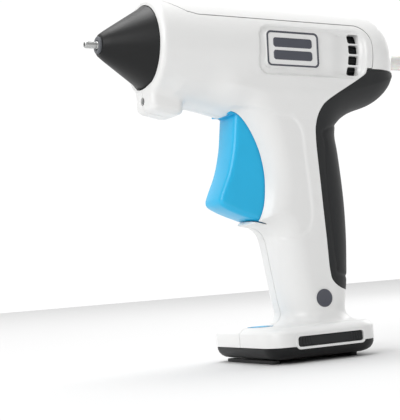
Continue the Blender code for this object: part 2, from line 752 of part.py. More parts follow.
def nozzle(black, grey, steel):
    skirt = NOSE_X + FRONT_LIP + GAP
    flange = BARREL_R - BARREL_WALL - GAP
    inner = CONE_R - CONE_WALL
    wall = CONE_WALL * 1.2
    profile = [(CONE_FRONT_X, COLLAR_R + GAP), (CONE_FRONT_X, CONE_FRONT_R),
               (CONE_EDGE_X, CONE_EDGE_R), (NOSE_X, CONE_R), (skirt, CONE_R),
               (skirt, flange), (skirt + CONE_WALL, flange), (skirt + CONE_WALL, inner),
               (NOSE_X, inner - 0.4 * MM), (CONE_EDGE_X + wall, cone_line(CONE_EDGE_X) - 0.9 * MM),
               (CONE_FRONT_X + 1.6 * MM, COLLAR_R + GAP)]
    add_object("nozzle_cone", turned(profile, SIDES, closed=True), black, BARREL)
    hole = TIP_D / 2 + RUN
    ring = [(COLLAR_X, hole), (COLLAR_X, COLLAR_R - 0.4 * MM), (COLLAR_X + 0.4 * MM, COLLAR_R),
            (COLLAR_X + COLLAR_L, COLLAR_R), (COLLAR_X + COLLAR_L, hole)]
    add_object("nozzle_collar", turned(ring, 20, closed=True), grey, BARREL)
    bore = TIP_BORE / 2
    tube = TIP_D / 2
    flange_x = CHAMBER_X0 - GAP
    body = [(TIP_X, bore), (TIP_X, tube - 0.4 * MM), (TIP_X + 0.4 * MM, tube),
            (-76.0 * MM, tube), (-74.0 * MM, 4.0 * MM), (flange_x, 4.0 * MM),
            (flange_x, THREAD_R), (THREAD_X, THREAD_R), (THREAD_X, bore)]
    add_object("nozzle_tip", turned(body, 18, closed=True), steel, BARREL)


def melt_chamber(cast):
    bore = STICK_D / 2 + MELT_CLEAR
    profile = [(CHAMBER_X0, THREAD_R + GAP), (CHAMBER_X0, CHAMBER_R),
               (CHAMBER_X1 - SPIGOT_L, CHAMBER_R), (CHAMBER_X1 - SPIGOT_L, SPIGOT_R),
               (CHAMBER_X1, SPIGOT_R), (CHAMBER_X1, bore), (BORE_X0, bore),
               (THREAD_X + 1.5 * MM, TIP_BORE / 2), (THREAD_X + GAP, TIP_BORE / 2),
               (THREAD_X + GAP, THREAD_R + GAP)]
    chamber = add_object("melt_chamber", turned(profile, 22, closed=True), cast, BARREL)
    x0, x1, half, z0 = BLOCK
    block = add_object("block", box(x0, x1, -half, half, z0, -CHAMBER_R * 0.75), matrix=BARREL)
    join(chamber, block)
    length, width, height = HEATER
    z1 = z0 + BLOCK_SKIN + height + 2 * GAP
    pocket = box(x1 - length - GAP, x1 + 1 * MM, -width / 2 - GAP, width / 2 + GAP,
                 z0 + BLOCK_SKIN, z1)
    cut(chamber, add_object("pocket", pocket, matrix=BARREL))


def heater_parts(ceramic, spring_steel, silicone, nylon):
    length, width, height = HEATER
    x0, x1, half, z0 = BLOCK
    low = z0 + BLOCK_SKIN + GAP
    add_object("heater_element", box(x1 - length, x1, -width / 2, width / 2, low, low + height),
               ceramic, BARREL)
    side = CHAMBER_R + GAP
    clip = add_object("heater_clip", box(CLIP_X, CLIP_X + CLIP_W, -side - CLIP_T, side + CLIP_T,
                                         z0 - GAP - CLIP_T, side + CLIP_T), spring_steel, BARREL)
    cut(clip, add_object("inside", box(CLIP_X - 1 * MM, CLIP_X + CLIP_W + 1 * MM, -side, side,
                                       z0 - GAP, side), matrix=BARREL))
    bore = STICK_D / 2 + MELT_CLEAR
    front = CHAMBER_X1 - SPIGOT_L + GAP
    sleeve = [(front, SPIGOT_R + GAP), (front, SLEEVE_R), (SLEEVE_X1 - 1 * MM, SLEEVE_R),
              (SLEEVE_X1, SLEEVE_R - 1 * MM), (SLEEVE_X1, bore + 0.8 * MM),
              (SLEEVE_X1 - 2 * MM, bore), (CHAMBER_X1 + GAP, bore),
              (CHAMBER_X1 + GAP, SPIGOT_R + GAP)]
    add_object("inlet_sleeve", turned(sleeve, 20, closed=True), silicone, BARREL)
    rim = BARREL_R - BARREL_WALL - GAP
    hold = [(HOLDER_X, CHAMBER_R + GAP), (HOLDER_X, rim), (HOLDER_X + HOLDER_T, rim),
            (HOLDER_X + HOLDER_T, CHAMBER_R + GAP)]
    holder = add_object("chamber_holder", turned(hold, 28, closed=True), nylon,
                        BARREL @ Matrix.Rotation(HOLDER_TURN, 4, 'X'))
    ring = (rim + CHAMBER_R) / 2
    for k in range(4):
        turn = k * pi / 2
        window = rod(WINDOW_R, 10 * MM, 10)
        cut(holder, add_object("window", window, matrix=BARREL @ Matrix.Translation(
            (HOLDER_X - 3 * MM, ring * sin(turn), -ring * cos(turn)))))


# ------------------------------------------------------------------ feed

def stick_and_guide(glue, nylon):
    radius = STICK_D / 2
    start = STICK_END - STICK_L
    chamfer = 0.3 * MM
    body = [(start, 0), (start, radius), (STICK_END - chamfer, radius),
            (STICK_END, radius - chamfer), (STICK_END, 0)]
    add_object("glue_stick", turned(body, 24), glue, BARREL)
    slug = [(SLUG_X0, 0), (SLUG_X0, radius - 1 * MM), (SLUG_X0 + 2 * MM, radius),
            (start - GAP, radius), (start - GAP, 0)]
    add_object("glue_slug", turned(slug, 24), glue, BARREL)
    hole = radius + RUN
    tube = [(GUIDE_X0, hole + 1 * MM), (GUIDE_X0, GUIDE_FLANGE_R),
            (GUIDE_X0 + 1.6 * MM, GUIDE_FLANGE_R), (GUIDE_X0 + 1.6 * MM, GUIDE_R),
            (GUIDE_X1, GUIDE_R), (GUIDE_X1, hole), (GUIDE_X0 + 1.6 * MM, hole)]
    add_object("stick_guide", turned(tube, 20, closed=True), nylon, BARREL)


def arm_length():
    """Distance from the pivot up to the barrel axis."""
    return (AXIS_Z - PIVOT_X * tan(PITCH) - PIVOT_Z) * cos(PITCH)


def carriage_x():
    """Carriage centre at rest: half of the swing behind the pivot."""
    foot = PIVOT_X * cos(PITCH) - (PIVOT_Z - AXIS_Z) * sin(PITCH)
    return foot + arm_length() * tan(TRIGGER_SWING / 2)


def feed_carriage(nylon, spring_steel):
    place = BARREL @ Matrix.Translation((carriage_x(), 0, 0))
    half = CARRIAGE_L / 2
    block = box(-half, half, -CARRIAGE_HALF_W, CARRIAGE_HALF_W, -CARRIAGE_HALF_H, CARRIAGE_HALF_H)
    carriage = add_object("feed_carriage", block, nylon, place)
    reach = TRIGGER_HALF_W - GAP
    join(carriage, add_object("trunnions", sideways(0, 0, TRUNNION_D / 2, -reach, reach),
                              matrix=place))
    cut(carriage, add_object("bore", rod(STICK_D / 2 + RUN, 30 * MM, 24),
                             matrix=place @ Matrix.Translation((-15 * MM, 0, 0))))
    jaw = add_object("grip_jaw", box(half + GAP, half + GAP + JAW_T, -5.4 * MM, 5.4 * MM,
                                     -6.0 * MM, 6.0 * MM), spring_steel, place)
    cut(jaw, add_object("bore", rod(STICK_D / 2 + GAP, 30 * MM, 24),
                        matrix=place @ Matrix.Translation((-15 * MM, 0, 0))))


def trigger(blue, steel, spring_steel):
    """Finger lever, hub and the fork that drives the carriage, about the pivot."""
    pivot = Matrix.Translation((PIVOT_X, 0, PIVOT_Z))
    local = [(x * MM - PIVOT_X, z * MM - PIVOT_Z)
             for x, z in [*smooth_line(LEVER_FACE, 3), *LEVER_TIP, *smooth_line(LEVER_REAR, 2)]]
    half = TRIGGER_HALF_W
    lever = add_object("trigger", prism(local, -half, half), blue, pivot)
    join(lever, add_object("hub", sideways(0, 0, 4.8 * MM, -half, half, 20), matrix=pivot))
    lean = pivot @ Matrix.Rotation(PITCH + TRIGGER_SWING / 2, 4, 'Y')
    length = arm_length()
    wide = TRUNNION_D / 2 + GAP + ARM_T
    for side in (-1, 1):
        y0, y1 = sorted((side * half, side * (CARRIAGE_HALF_W + RUN)))
        join(lever, add_object("arm", box(-wide, wide, y0, y1, 0, length + 4.5 * MM),
                               matrix=lean))
    slot = TRUNNION_D / 2 + GAP
    cut(lever, add_object("fork", box(-slot, slot, -PROUD, PROUD, length - 3 * MM,
                                      length + PROUD), matrix=lean))
    cut(lever, add_object("pin", sideways(0, 0, PIN_D / 2 + GAP, -PROUD, PROUD), matrix=pivot))
    add_object("trigger_pin", sideways(0, 0, PIN_D / 2, -PIN_L / 2, PIN_L / 2), steel, pivot)
    coil_spring("return_spring", spring_steel)


def coil_spring(name, mat):
    """Torsion spring round the pin, beside the hub."""
    sides, steps = 5, 10
    rings = []
    count = SPRING_TURNS * steps
    for k in range(count + 1):
        turn = 2 * pi * k / steps
        middle = Vector((SPRING_R * cos(turn), TRIGGER_HALF_W + 1.2 * MM
                         + SPRING_PITCH * k / steps, SPRING_R * sin(turn)))
        out = Vector((cos(turn), 0, sin(turn)))
        side = Vector((0, 1, 0))
        rings.append([middle + SPRING_WIRE / 2 * (cos(2 * pi * j / sides) * out
                                                  + sin(2 * pi * j / sides) * side)
                      for j in range(sides)])
    add_object(name, loft(rings), mat, Matrix.Translation((PIVOT_X, 0, PIVOT_Z)))


# ------------------------------------------------------------------ base and electronics

def base_cover(black):
    """Black dish under the base, with posts for the screws."""
    steps = [(COVER_Z, 6.4 * MM), (COVER_Z + 0.9 * MM, 3.6 * MM), (COVER_Z + 2.6 * MM, 1.4 * MM),
             (BASE_SPLIT - GAP, 0.2 * MM)]
    dish = base_form(steps, "base_cover")
    room = [(COVER_Z + 2.0 * MM, 6.8 * MM), (COVER_Z + 3.4 * MM, 3.6 * MM),
            (BASE_SPLIT + 1 * MM, 2.4 * MM)]
    cut(dish, base_form(room))
    for side in (-1, 1):
        cut(dish, strip_rim(GAP, side))
        for x, y in BASE_SCREWS:
            join(dish, add_object("post", round_slab(x * MM, side * y * MM, PILLAR_D / 2,
                                                     COVER_Z + 1 * MM, BASE_SPLIT - GAP)))
            cut(dish, add_object("hole", round_slab(x * MM, side * y * MM, SCREW_D / 2 + GAP,
                                                    0, PROUD)))
            cut(dish, add_object("well", round_slab(x * MM, side * y * MM,
                                                    SCREW_HEAD_D / 2 + GAP, 0,
                                                    BASE_SCREW_SEAT + GAP)))
    tidy_faces(dish)
    dish.data.materials.clear()
    dish.data.materials.append(black)


def feet(rubber):
    for name, (x0, x1, half) in (("front_foot", FRONT_FOOT), ("rear_foot", REAR_FOOT)):
        outline = rounded(x0, x1, -half, half, 1.2 * MM, 3)
        add_object(name, slab(outline, 0, COVER_Z - GAP), rubber)


def power_button(blue, glow, steel):
    top = DECK_Z
    ring = [(top, BUTTON_R + GAP), (top, RING_R), (top - BASE_WALL - GAP, RING_R),
            (top - BASE_WALL - GAP, RING_R + 1.2 * MM),
            (top - BASE_WALL - GAP - 1 * MM, RING_R + 1.2 * MM),
            (top - BASE_WALL - GAP - 1 * MM, BUTTON_R + GAP)]
    upright = Matrix.Translation((BUTTON_X, 0, 0)) @ Matrix.Rotation(-pi / 2, 4, 'Y')
    add_object("indicator_ring", turned(ring, 24, closed=True), glow, upright)
    foot = BOARD_Z + BOARD_T + SWITCH_H + GAP + BUTTON_TRAVEL + 0.1 * MM
    stem_top = top - 2.4 * MM
    cap = [(foot - top, 0), (foot - top, 1.6 * MM), (stem_top - top, 1.6 * MM),
           (stem_top - top, BUTTON_R), (-0.3 * MM, BUTTON_R), (0, BUTTON_R - 0.3 * MM), (0, 0)]
    add_object("power_button", turned(cap, 24), blue,
               Matrix.Translation((BUTTON_X, 0, top)) @ Matrix.Rotation(-pi / 2, 4, 'Y'))
    low = BOARD_Z + BOARD_T + GAP
    add_object("button_switch", box(BUTTON_X - 3 * MM, BUTTON_X + 3 * MM, -3 * MM, 3 * MM,
                                    low, low + SWITCH_H - GAP), steel)


def electronics(green, steel, cell_wrap, copper):
    x0, x1, half = BOARD
    add_object("control_board", box(x0, x1, -half, half, BOARD_Z, BOARD_Z + BOARD_T), green)
    socket = add_object("charge_socket", box(BASE_X1 - PORT[0] - 0.8 * MM, BASE_X1 - 0.8 * MM,
                                             -PORT[1] / 2, PORT[1] / 2, PORT_Z,
                                             PORT_Z + PORT[2]), steel)
    cut(socket, add_object("mouth", box(BASE_X1 - PORT[0] + 0.6 * MM, BASE_X1 + 1 * MM,
                                        -PORT[1] / 2 + 0.4 * MM, PORT[1] / 2 - 0.4 * MM,
                                        PORT_Z + 0.4 * MM, PORT_Z + PORT[2] - 0.4 * MM)))
    radius = CELL_D / 2
    cell = [(0, 0), (0, radius), (CELL_L - 2.2 * MM, radius), (CELL_L - 2.2 * MM, 4 * MM),
            (CELL_L, 4 * MM), (CELL_L, 0)]
    foot_x, foot_z = CELL_FOOT
    place = Matrix.Translation((foot_x, 0, foot_z)) @ Matrix.Rotation(CELL_LEAN - pi / 2, 4, 'Y')
    add_object("battery_cell", turned(cell, 20), cell_wrap, place)
    for side, name in ((-1, "heater_lead_left"), (1, "heater_lead_right")):
        add_object(name, lead(side), copper)


def lead(side):
    """Insulated wire along LEAD_ROUTE, on one side."""
    points = smooth_line(LEAD_ROUTE, 1)
    path = [Vector((x, side * y, z)) * MM for x, y, z in points]
    rings = []
    for k, here in enumerate(path):
        ahead = (path[min(k + 1, len(path) - 1)] - path[max(k - 1, 0)]).normalized()
        out = ahead.cross(Vector((0, 1, 0))).normalized()
        other = ahead.cross(out)
        rings.append([here + LEAD_D / 2 * (cos(2 * pi * j / 6) * out + sin(2 * pi * j / 6) * other)
                      for j in range(6)])
    return loft(rings)


def lamp(clear, green):
    radius = LAMP_D / 2
    lens = [(BOSS_X0 + 0.8 * MM, 0), (BOSS_X0 + 1.0 * MM, radius * 0.7),
            (BOSS_X0 + 1.6 * MM, radius), (BOSS_X0 + 6 * MM, radius), (BOSS_X0 + 6 * MM, 0)]
    add_object("lamp_lens", turned(lens, 14), clear,
               BARREL @ Matrix.Translation((0, 0, LAMP_Z)))
    x0 = BOSS_X0 + 6 * MM + GAP
    add_object("lamp_board", box(x0, x0 + 1.2 * MM, -5 * MM, 5 * MM, LAMP_Z - 2.2 * MM,
                                 LAMP_Z + 4 * MM), green, BARREL)


# ------------------------------------------------------------------ trim and fasteners

def side_trim(slate, black, rubber):
    for side, tag in ((-1, "left"), (1, "right")):
        badge = wall_plate("badge_" + tag, rounded(*BADGE, 2.4 * MM),
                           BARREL_R - PANEL_DEPTH + GAP, BARREL_R - PANEL_DEPTH + GAP + BADGE_T,
                           side, slate)
        to_world(badge)
        outer = BARREL_R - PANEL_DEPTH - 0.4 * MM
        grille = wall_plate("vent_grille_" + tag, vent_outline(-GAP), outer - VENT_T, outer,
                            side, black)
        pitch = (VENT_Z1 - VENT_Z0) / VENT_SLOTS
        for k in range(VENT_SLOTS):
            low = VENT_Z0 + (k + 0.5) * pitch - VENT_GAP / 2
            slot = prism(rounded(VENT_X0 + 1.4 * MM, VENT_X1 - 1.4 * MM, low, low + VENT_GAP,
                                 0.8 * MM, 2), side * 1 * MM, side * PROUD)
            cut(grille, add_object("slot", slot, matrix=BARREL))
        to_world(grille)
        outer = grip_half_width(MARK_X, MARK_Z)
        y0, y1 = sorted((side * (outer - MARK_T), side * outer))
        add_object("grip_mark_" + tag, sideways(MARK_X, MARK_Z, MARK_R - GAP, y0, y1, 24), slate)
        outline = rounded(STRIP_X0 + GAP, STRIP_X1 - GAP, STRIP_Z0 + GAP, STRIP_Z1 - GAP,
                          1.0 * MM, 3)
        y0, y1 = sorted((side * (BASE_HALF_W - STRIP_T + GAP), side * (BASE_HALF_W + 0.2 * MM)))
        add_object("side_strip_" + tag, prism(outline, y0, y1), rubber)


def screw_form(head_d, head_t, shank_d, length):
    """Pan head with a cross recess left to the finish, head at x = 0 upwards."""
    head, shank = head_d / 2, shank_d / 2
    return turned([(-length, 0), (-length, shank * 0.5), (-length + 1 * MM, shank), (0, shank),
                   (0, head), (head_t * 0.6, head), (head_t, head * 0.6), (head_t, 0)], 8)


def screws(steel):
    for number, (x, z) in enumerate(HOUSING_SCREWS, 1):
        place = Matrix.Translation((x * MM, SCREW_SEAT + GAP / 2, z * MM))
        place @= Matrix.Rotation(pi / 2, 4, 'Z')
        add_object(f"housing_screw_{number}", screw_form(SCREW_HEAD_D, SCREW_HEAD_T, SCREW_D,
                                                         SCREW_SEAT + SCREW_REACH - GAP),
                   steel, place)
    number = 0
    for side in (-1, 1):
        for x, y in BASE_SCREWS:
            number += 1
            place = Matrix.Translation((x * MM, side * y * MM, BASE_SCREW_SEAT))
            place @= Matrix.Rotation(pi / 2, 4, 'Y')
            add_object(f"base_screw_{number}", screw_form(SCREW_HEAD_D, SCREW_HEAD_T, SCREW_D,
                                                          BASE_SCREW_TOP - BASE_SCREW_SEAT),
                       steel, place)


def build():
    clear_scene()
    white = material("white_abs", (0.86, 0.86, 0.86), 0.35)
    black = material("black_nylon", (0.012, 0.012, 0.013), 0.42)
    slate = material("slate_abs", (0.10, 0.11, 0.14), 0.45)
    grey = material("grey_silicone", (0.22, 0.22, 0.22), 0.6)
    rubber = material("dark_rubber", (0.035, 0.035, 0.037), 0.6)
    blue = material("blue_abs", (0.02, 0.42, 0.80), 0.38)
    glow = material("clear_blue_acrylic", (0.1, 0.7, 0.9), 0.2)
    steel = material("zinc_steel", (0.55, 0.55, 0.57), 0.3, 1.0)
    spring_steel = material("spring_steel", (0.4, 0.4, 0.42), 0.3, 1.0)
    cast = material("cast_aluminium", (0.6, 0.6, 0.6), 0.5, 1.0)
    ceramic = material("white_ceramic", (0.75, 0.72, 0.66), 0.6)
    nylon = material("natural_nylon", (0.6, 0.58, 0.5), 0.5)
    glue = material("clear_glue", (0.8, 0.8, 0.78), 0.4)
    green = material("green_board", (0.02, 0.2, 0.06), 0.4)
    clear = material("clear_acrylic", (0.8, 0.8, 0.8), 0.1)
    wrap = material("cell_wrap", (0.05, 0.2, 0.35), 0.35)
    lead_skin = material("red_silicone", (0.4, 0.03, 0.02), 0.5)

    housings(white)
    top_cover(white)
    rear_end_cap(white)
    rubber_backstrap(rubber)
    nozzle(black, grey, steel)
    melt_chamber(cast)
    heater_parts(ceramic, spring_steel, grey, nylon)
    stick_and_guide(glue, nylon)
    feed_carriage(nylon, spring_steel)
    trigger(blue, steel, spring_steel)
    base_cover(black)
    feet(rubber)
    power_button(blue, glow, steel)
    electronics(green, steel, wrap, lead_skin)
    lamp(clear, green)
    side_trim(slate, black, rubber)
    screws(steel)


build()
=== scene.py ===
# %% [markdown]
# # A cordless glue gun
# A hot-melt glue gun is a barrel, a grip and a base moulded as two plastic halves. The barrel holds
# a melt chamber behind a nylon cone, the grip holds a battery cell, and a blue lever feeds the
# stick. The solids from the design file carry the motion; each visible piece is built again here,
# finer, in the same place. Everything is worked out in millimetres and turned to metres at the end.

# %% Load the frame
from math import cos, pi, radians, sin

import bmesh
import bpy
import numpy as np
from mathutils import Matrix, Vector


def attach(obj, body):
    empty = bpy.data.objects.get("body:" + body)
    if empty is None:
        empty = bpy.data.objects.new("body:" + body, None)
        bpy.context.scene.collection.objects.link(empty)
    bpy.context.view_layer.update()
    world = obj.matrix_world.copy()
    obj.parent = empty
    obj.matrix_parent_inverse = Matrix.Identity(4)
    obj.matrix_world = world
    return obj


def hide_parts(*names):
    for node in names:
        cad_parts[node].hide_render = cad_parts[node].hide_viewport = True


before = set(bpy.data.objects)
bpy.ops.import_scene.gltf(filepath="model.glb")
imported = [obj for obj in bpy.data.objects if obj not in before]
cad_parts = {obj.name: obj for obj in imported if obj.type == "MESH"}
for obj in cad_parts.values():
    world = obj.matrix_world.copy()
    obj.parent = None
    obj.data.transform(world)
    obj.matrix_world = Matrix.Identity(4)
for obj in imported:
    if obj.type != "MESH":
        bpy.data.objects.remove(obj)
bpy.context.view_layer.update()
MM = 0.001

# %% [markdown]
# ## Two ways to give a place
# The barrel is tipped nose up by two degrees, so places on it are given along its axis (s), across
# it (y) and up from it (h). The grip and base use plain world axes.

# %% Barrel axes
AXIS_Z = 141.2
PITCH = radians(2.0)
BARREL_R = 22.0
NOSE_S, REAR_S, DOME_L = -57.5, 69.8, 17.0


def to_barrel(x, z):
    """(s, h) of world (x, z): shift down by the axis height, then turn by the pitch."""
    return (x * cos(PITCH) - (z - AXIS_Z) * sin(PITCH),
            x * sin(PITCH) + (z - AXIS_Z) * cos(PITCH))


def to_world(s, y, h):
    """World points of barrel places: turn back by the pitch and lift by the axis height."""
    s, y, h = np.broadcast_arrays(s, y, h)
    return np.stack([s * cos(PITCH) + h * sin(PITCH), y * 1.0,
                     AXIS_Z - s * sin(PITCH) + h * cos(PITCH)], -1)


print("nozzle end at", np.round(to_world(-85.0, 0.0, 0.0), 1))

# %% [markdown]
# ## Making a mesh from arrays
# Every piece ends as one object at the origin with its place in its mesh. A grid of points becomes
# quads, and a ring of points is closed by its own row of quads.

# %% Mesh helpers
WELD = 0.002


def new_piece(name, points, faces, weld=True):
    """Object from points in millimetres and a list or array of faces."""
    mesh = bpy.data.meshes.new(name)
    mesh.from_pydata(np.asarray(points, float) * MM, [], np.asarray(faces).tolist()
                     if isinstance(faces, np.ndarray) else faces)
    if weld:
        bm = bmesh.new()
        bm.from_mesh(mesh)
        bmesh.ops.remove_doubles(bm, verts=bm.verts, dist=WELD * MM)
        bmesh.ops.dissolve_degenerate(bm, edges=bm.edges, dist=WELD * MM)
        bmesh.ops.recalc_face_normals(bm, faces=bm.faces)
        bm.to_mesh(mesh)
        bm.free()
    made = bpy.data.objects.new(name, mesh)
    bpy.context.scene.collection.objects.link(made)
    return made


def grid_faces(rows, cols, wrap_rows=False, wrap_cols=True):
    """Quads between neighbouring places of a rows by cols grid of points."""
    r = np.arange(rows if wrap_rows else rows - 1)[:, None]
    c = np.arange(cols if wrap_cols else cols - 1)[None, :]
    r1, c1 = (r + 1) % rows, (c + 1) % cols
    quads = np.stack([r * cols + c, r * cols + c1, r1 * cols + c1, r1 * cols + c], -1)
    return quads.reshape(-1, 4)


def skin(name, rings, closed_path=False):
    """Solid through rings of points (rings, points, 3); open ends are closed with flat caps."""
    rings = np.asarray(rings, float)
    rows, cols = rings.shape[:2]
    faces = grid_faces(rows, cols, wrap_rows=closed_path).tolist()
    if not closed_path:
        faces += [list(range(cols - 1, -1, -1)), list(range((rows - 1) * cols, rows * cols))]
    return new_piece(name, rings.reshape(-1, 3), faces)


def joined(name, parts):
    """Several solids as one object."""
    bm = bmesh.new()
    for part in parts:
        bm.from_mesh(part.data)
        bpy.data.objects.remove(part, do_unlink=True)
    mesh = bpy.data.meshes.new(name)
    bm.to_mesh(mesh)
    bm.free()
    made = bpy.data.objects.new(name, mesh)
    bpy.context.scene.collection.objects.link(made)
    return made


def carve(target, tool, operation='DIFFERENCE'):
    """Boolean of two closed solids, applied at once; the tool is used up."""
    step = target.modifiers.new("step", 'BOOLEAN')
    step.operation = operation
    step.solver = 'MANIFOLD'
    step.object = tool
    bpy.context.view_layer.update()
    view = bpy.context.evaluated_depsgraph_get()
    mesh = bpy.data.meshes.new_from_object(target.evaluated_get(view))
    target.modifiers.clear()
    target.data = mesh
    bpy.data.objects.remove(tool, do_unlink=True)
    return target


def copy_of(source, name):
    """A separate copy of a piece."""
    made = bpy.data.objects.new(name, source.data.copy())
    bpy.context.scene.collection.objects.link(made)
    return made


def shade(piece, angle=32):
    """Smooth shading with edges over the angle kept sharp."""
    piece.data.shade_smooth()
    piece.data.set_sharp_from_angle(angle=radians(angle))
    return piece


# %% [markdown]
# ## Outlines
# Moulded parts have few straight lines. A handful of points with a Catmull-Rom curve through them
# gives the side view of the grip, lever and strap, and a rounded rectangle gives the small trim.

# %% Outline helpers
def smooth_line(points, per_span=6, closed=False):
    """Catmull-Rom curve: each span is a cubic through its ends with the neighbours' slopes."""
    p = np.asarray(points, float)
    ends = (p[-1:], p[:2]) if closed else (p[:1], p[-1:])
    q = np.concatenate([ends[0], p, ends[1]])
    spans = len(p) if closed else len(p) - 1
    a, b, c, d = (q[k:k + spans][:, None] for k in range(4))
    t = (np.arange(per_span) / per_span)[None, :, None]
    line = 0.5 * (2 * b + (c - a) * t + (2 * a - 5 * b + 4 * c - d) * t ** 2
                  + (3 * b - a - 3 * c + d) * t ** 3)
    line = line.reshape(-1, p.shape[1])
    return line if closed else np.concatenate([line, p[-1:]])


def rounded(u0, u1, v0, v1, radius, steps=8):
    """Rectangle whose corners are quarter circles, anticlockwise."""
    turn = (np.arange(4)[:, None] + np.arange(steps + 1)[None, :] / steps) * pi / 2
    cu = np.array([u1 - radius, u0 + radius, u0 + radius, u1 - radius])[:, None]
    cv = np.array([v1 - radius, v1 - radius, v0 + radius, v0 + radius])[:, None]
    return np.stack([cu + radius * np.cos(turn), cv + radius * np.sin(turn)], -1).reshape(-1, 2)


def prism(name, outline, y0, y1, barrel=False):
    """Outline of (x, z), or of (s, h) on the barrel, pushed from y0 to y1."""
    u, v = np.asarray(outline, float).T
    rings = [to_world(u, y, v) if barrel else np.stack([u, np.full_like(u, y), v], -1)
             for y in (y0, y1)]
    return skin(name, rings)


def upright(name, outline, z0, z1):
    """Outline of (x, y) pushed from z0 to z1."""
    u, v = np.asarray(outline, float).T
    return skin(name, [np.stack([u, v, np.full_like(u, z)], -1) for z in (z0, z1)])


def circle(u, v, radius, count=48):
    turn = np.arange(count) * 2 * pi / count
    return np.stack([u + radius * np.cos(turn), v + radius * np.sin(turn)], -1)


def turned(name, profile, sides=120, centre=(0.0, 0.0), closed=False):
    """Profile of (s, radius) carried round the barrel axis, or one beside it at (y, h)."""
    s, r = np.asarray(profile, float).T
    turn = (np.arange(sides) * 2 * pi / sides)[:, None]
    grid = to_world(s[None], centre[0] + r * np.sin(turn), centre[1] + r * np.cos(turn))
    faces = grid_faces(sides, len(s), wrap_rows=True, wrap_cols=closed)
    return new_piece(name, grid.reshape(-1, 3), faces)


def standing(name, profile, x, y, sides=72):
    """Profile of (radius, z) carried round an upright line at (x, y)."""
    r, z = np.asarray(profile, float).T
    turn = (np.arange(sides) * 2 * pi / sides)[:, None]
    grid = np.stack(np.broadcast_arrays(x + r * np.cos(turn), y + r * np.sin(turn), z[None]), -1)
    return new_piece(name, grid.reshape(-1, 3), grid_faces(sides, len(r), True, True))


print("rounded corner points:", len(rounded(0, 4, 0, 2, 0.5)))

# %% [markdown]
# ## A body with no creases
# The barrel runs into the grip with one soft blend and no line between them. Boxes and cylinders
# joined by a Boolean would leave a crease, so the body is one distance field: a number at each
# place that is negative inside. Two fields are blended by a smooth minimum, and a net of points is
# pulled onto the place where the field is zero.

# %% Field helpers
def smoothstep(t):
    """0 before 0, 1 after 1, and 3t^2 - 2t^3 between."""
    t = np.clip(t, 0, 1)
    return t * t * (3 - 2 * t)


def blend(a, b, width):
    """Smooth minimum: the lower of a and b, rounded off where they differ by less than width."""
    share = np.clip(0.5 + 0.5 * (b - a) / width, 0, 1)
    return b * (1 - share) + a * share - width * share * (1 - share)


def round_both(a, b, radius):
    """Inside both a and b, with the edge between them rounded to the radius."""
    u, v = a + radius, b + radius
    return np.minimum(np.maximum(u, v), 0) + np.hypot(np.maximum(u, 0), np.maximum(v, 0)) - radius


def outline_distance(x, z, points):
    """Distance to the nearest side of a closed outline, negative inside it."""
    p = np.asarray(points, float)
    shape = np.broadcast(x, z).shape
    nearest = np.full(shape, 1e9)
    inside = np.zeros(shape, bool)
    for (ax, az), (bx, bz) in zip(p, np.roll(p, -1, 0)):
        ex, ez = bx - ax, bz - az
        t = np.clip(((x - ax) * ex + (z - az) * ez) / (ex * ex + ez * ez + 1e-12), 0, 1)
        nearest = np.minimum(nearest, (x - ax - t * ex) ** 2 + (z - az - t * ez) ** 2)
        if az != bz:
            inside ^= ((az > z) != (bz > z)) & (x < ax + (z - az) * ex / ez)
    return np.where(inside, -1.0, 1.0) * np.sqrt(nearest)


def rounded_distance(u, v, box, radius):
    """Distance to a rounded rectangle (u0, u1, v0, v1), negative inside it."""
    u0, u1, v0, v1 = box
    a = np.abs(u - (u0 + u1) / 2) - (u1 - u0) / 2 + radius
    b = np.abs(v - (v0 + v1) / 2) - (v1 - v0) / 2 + radius
    return np.minimum(np.maximum(a, b), 0) + np.hypot(np.maximum(a, 0), np.maximum(b, 0)) - radius


def open_edges(piece):
    """Number of edges that don't have exactly two faces."""
    bm = bmesh.new()
    bm.from_mesh(piece.data)
    count = sum(not edge.is_manifold for edge in bm.edges)
    bm.free()
    return count


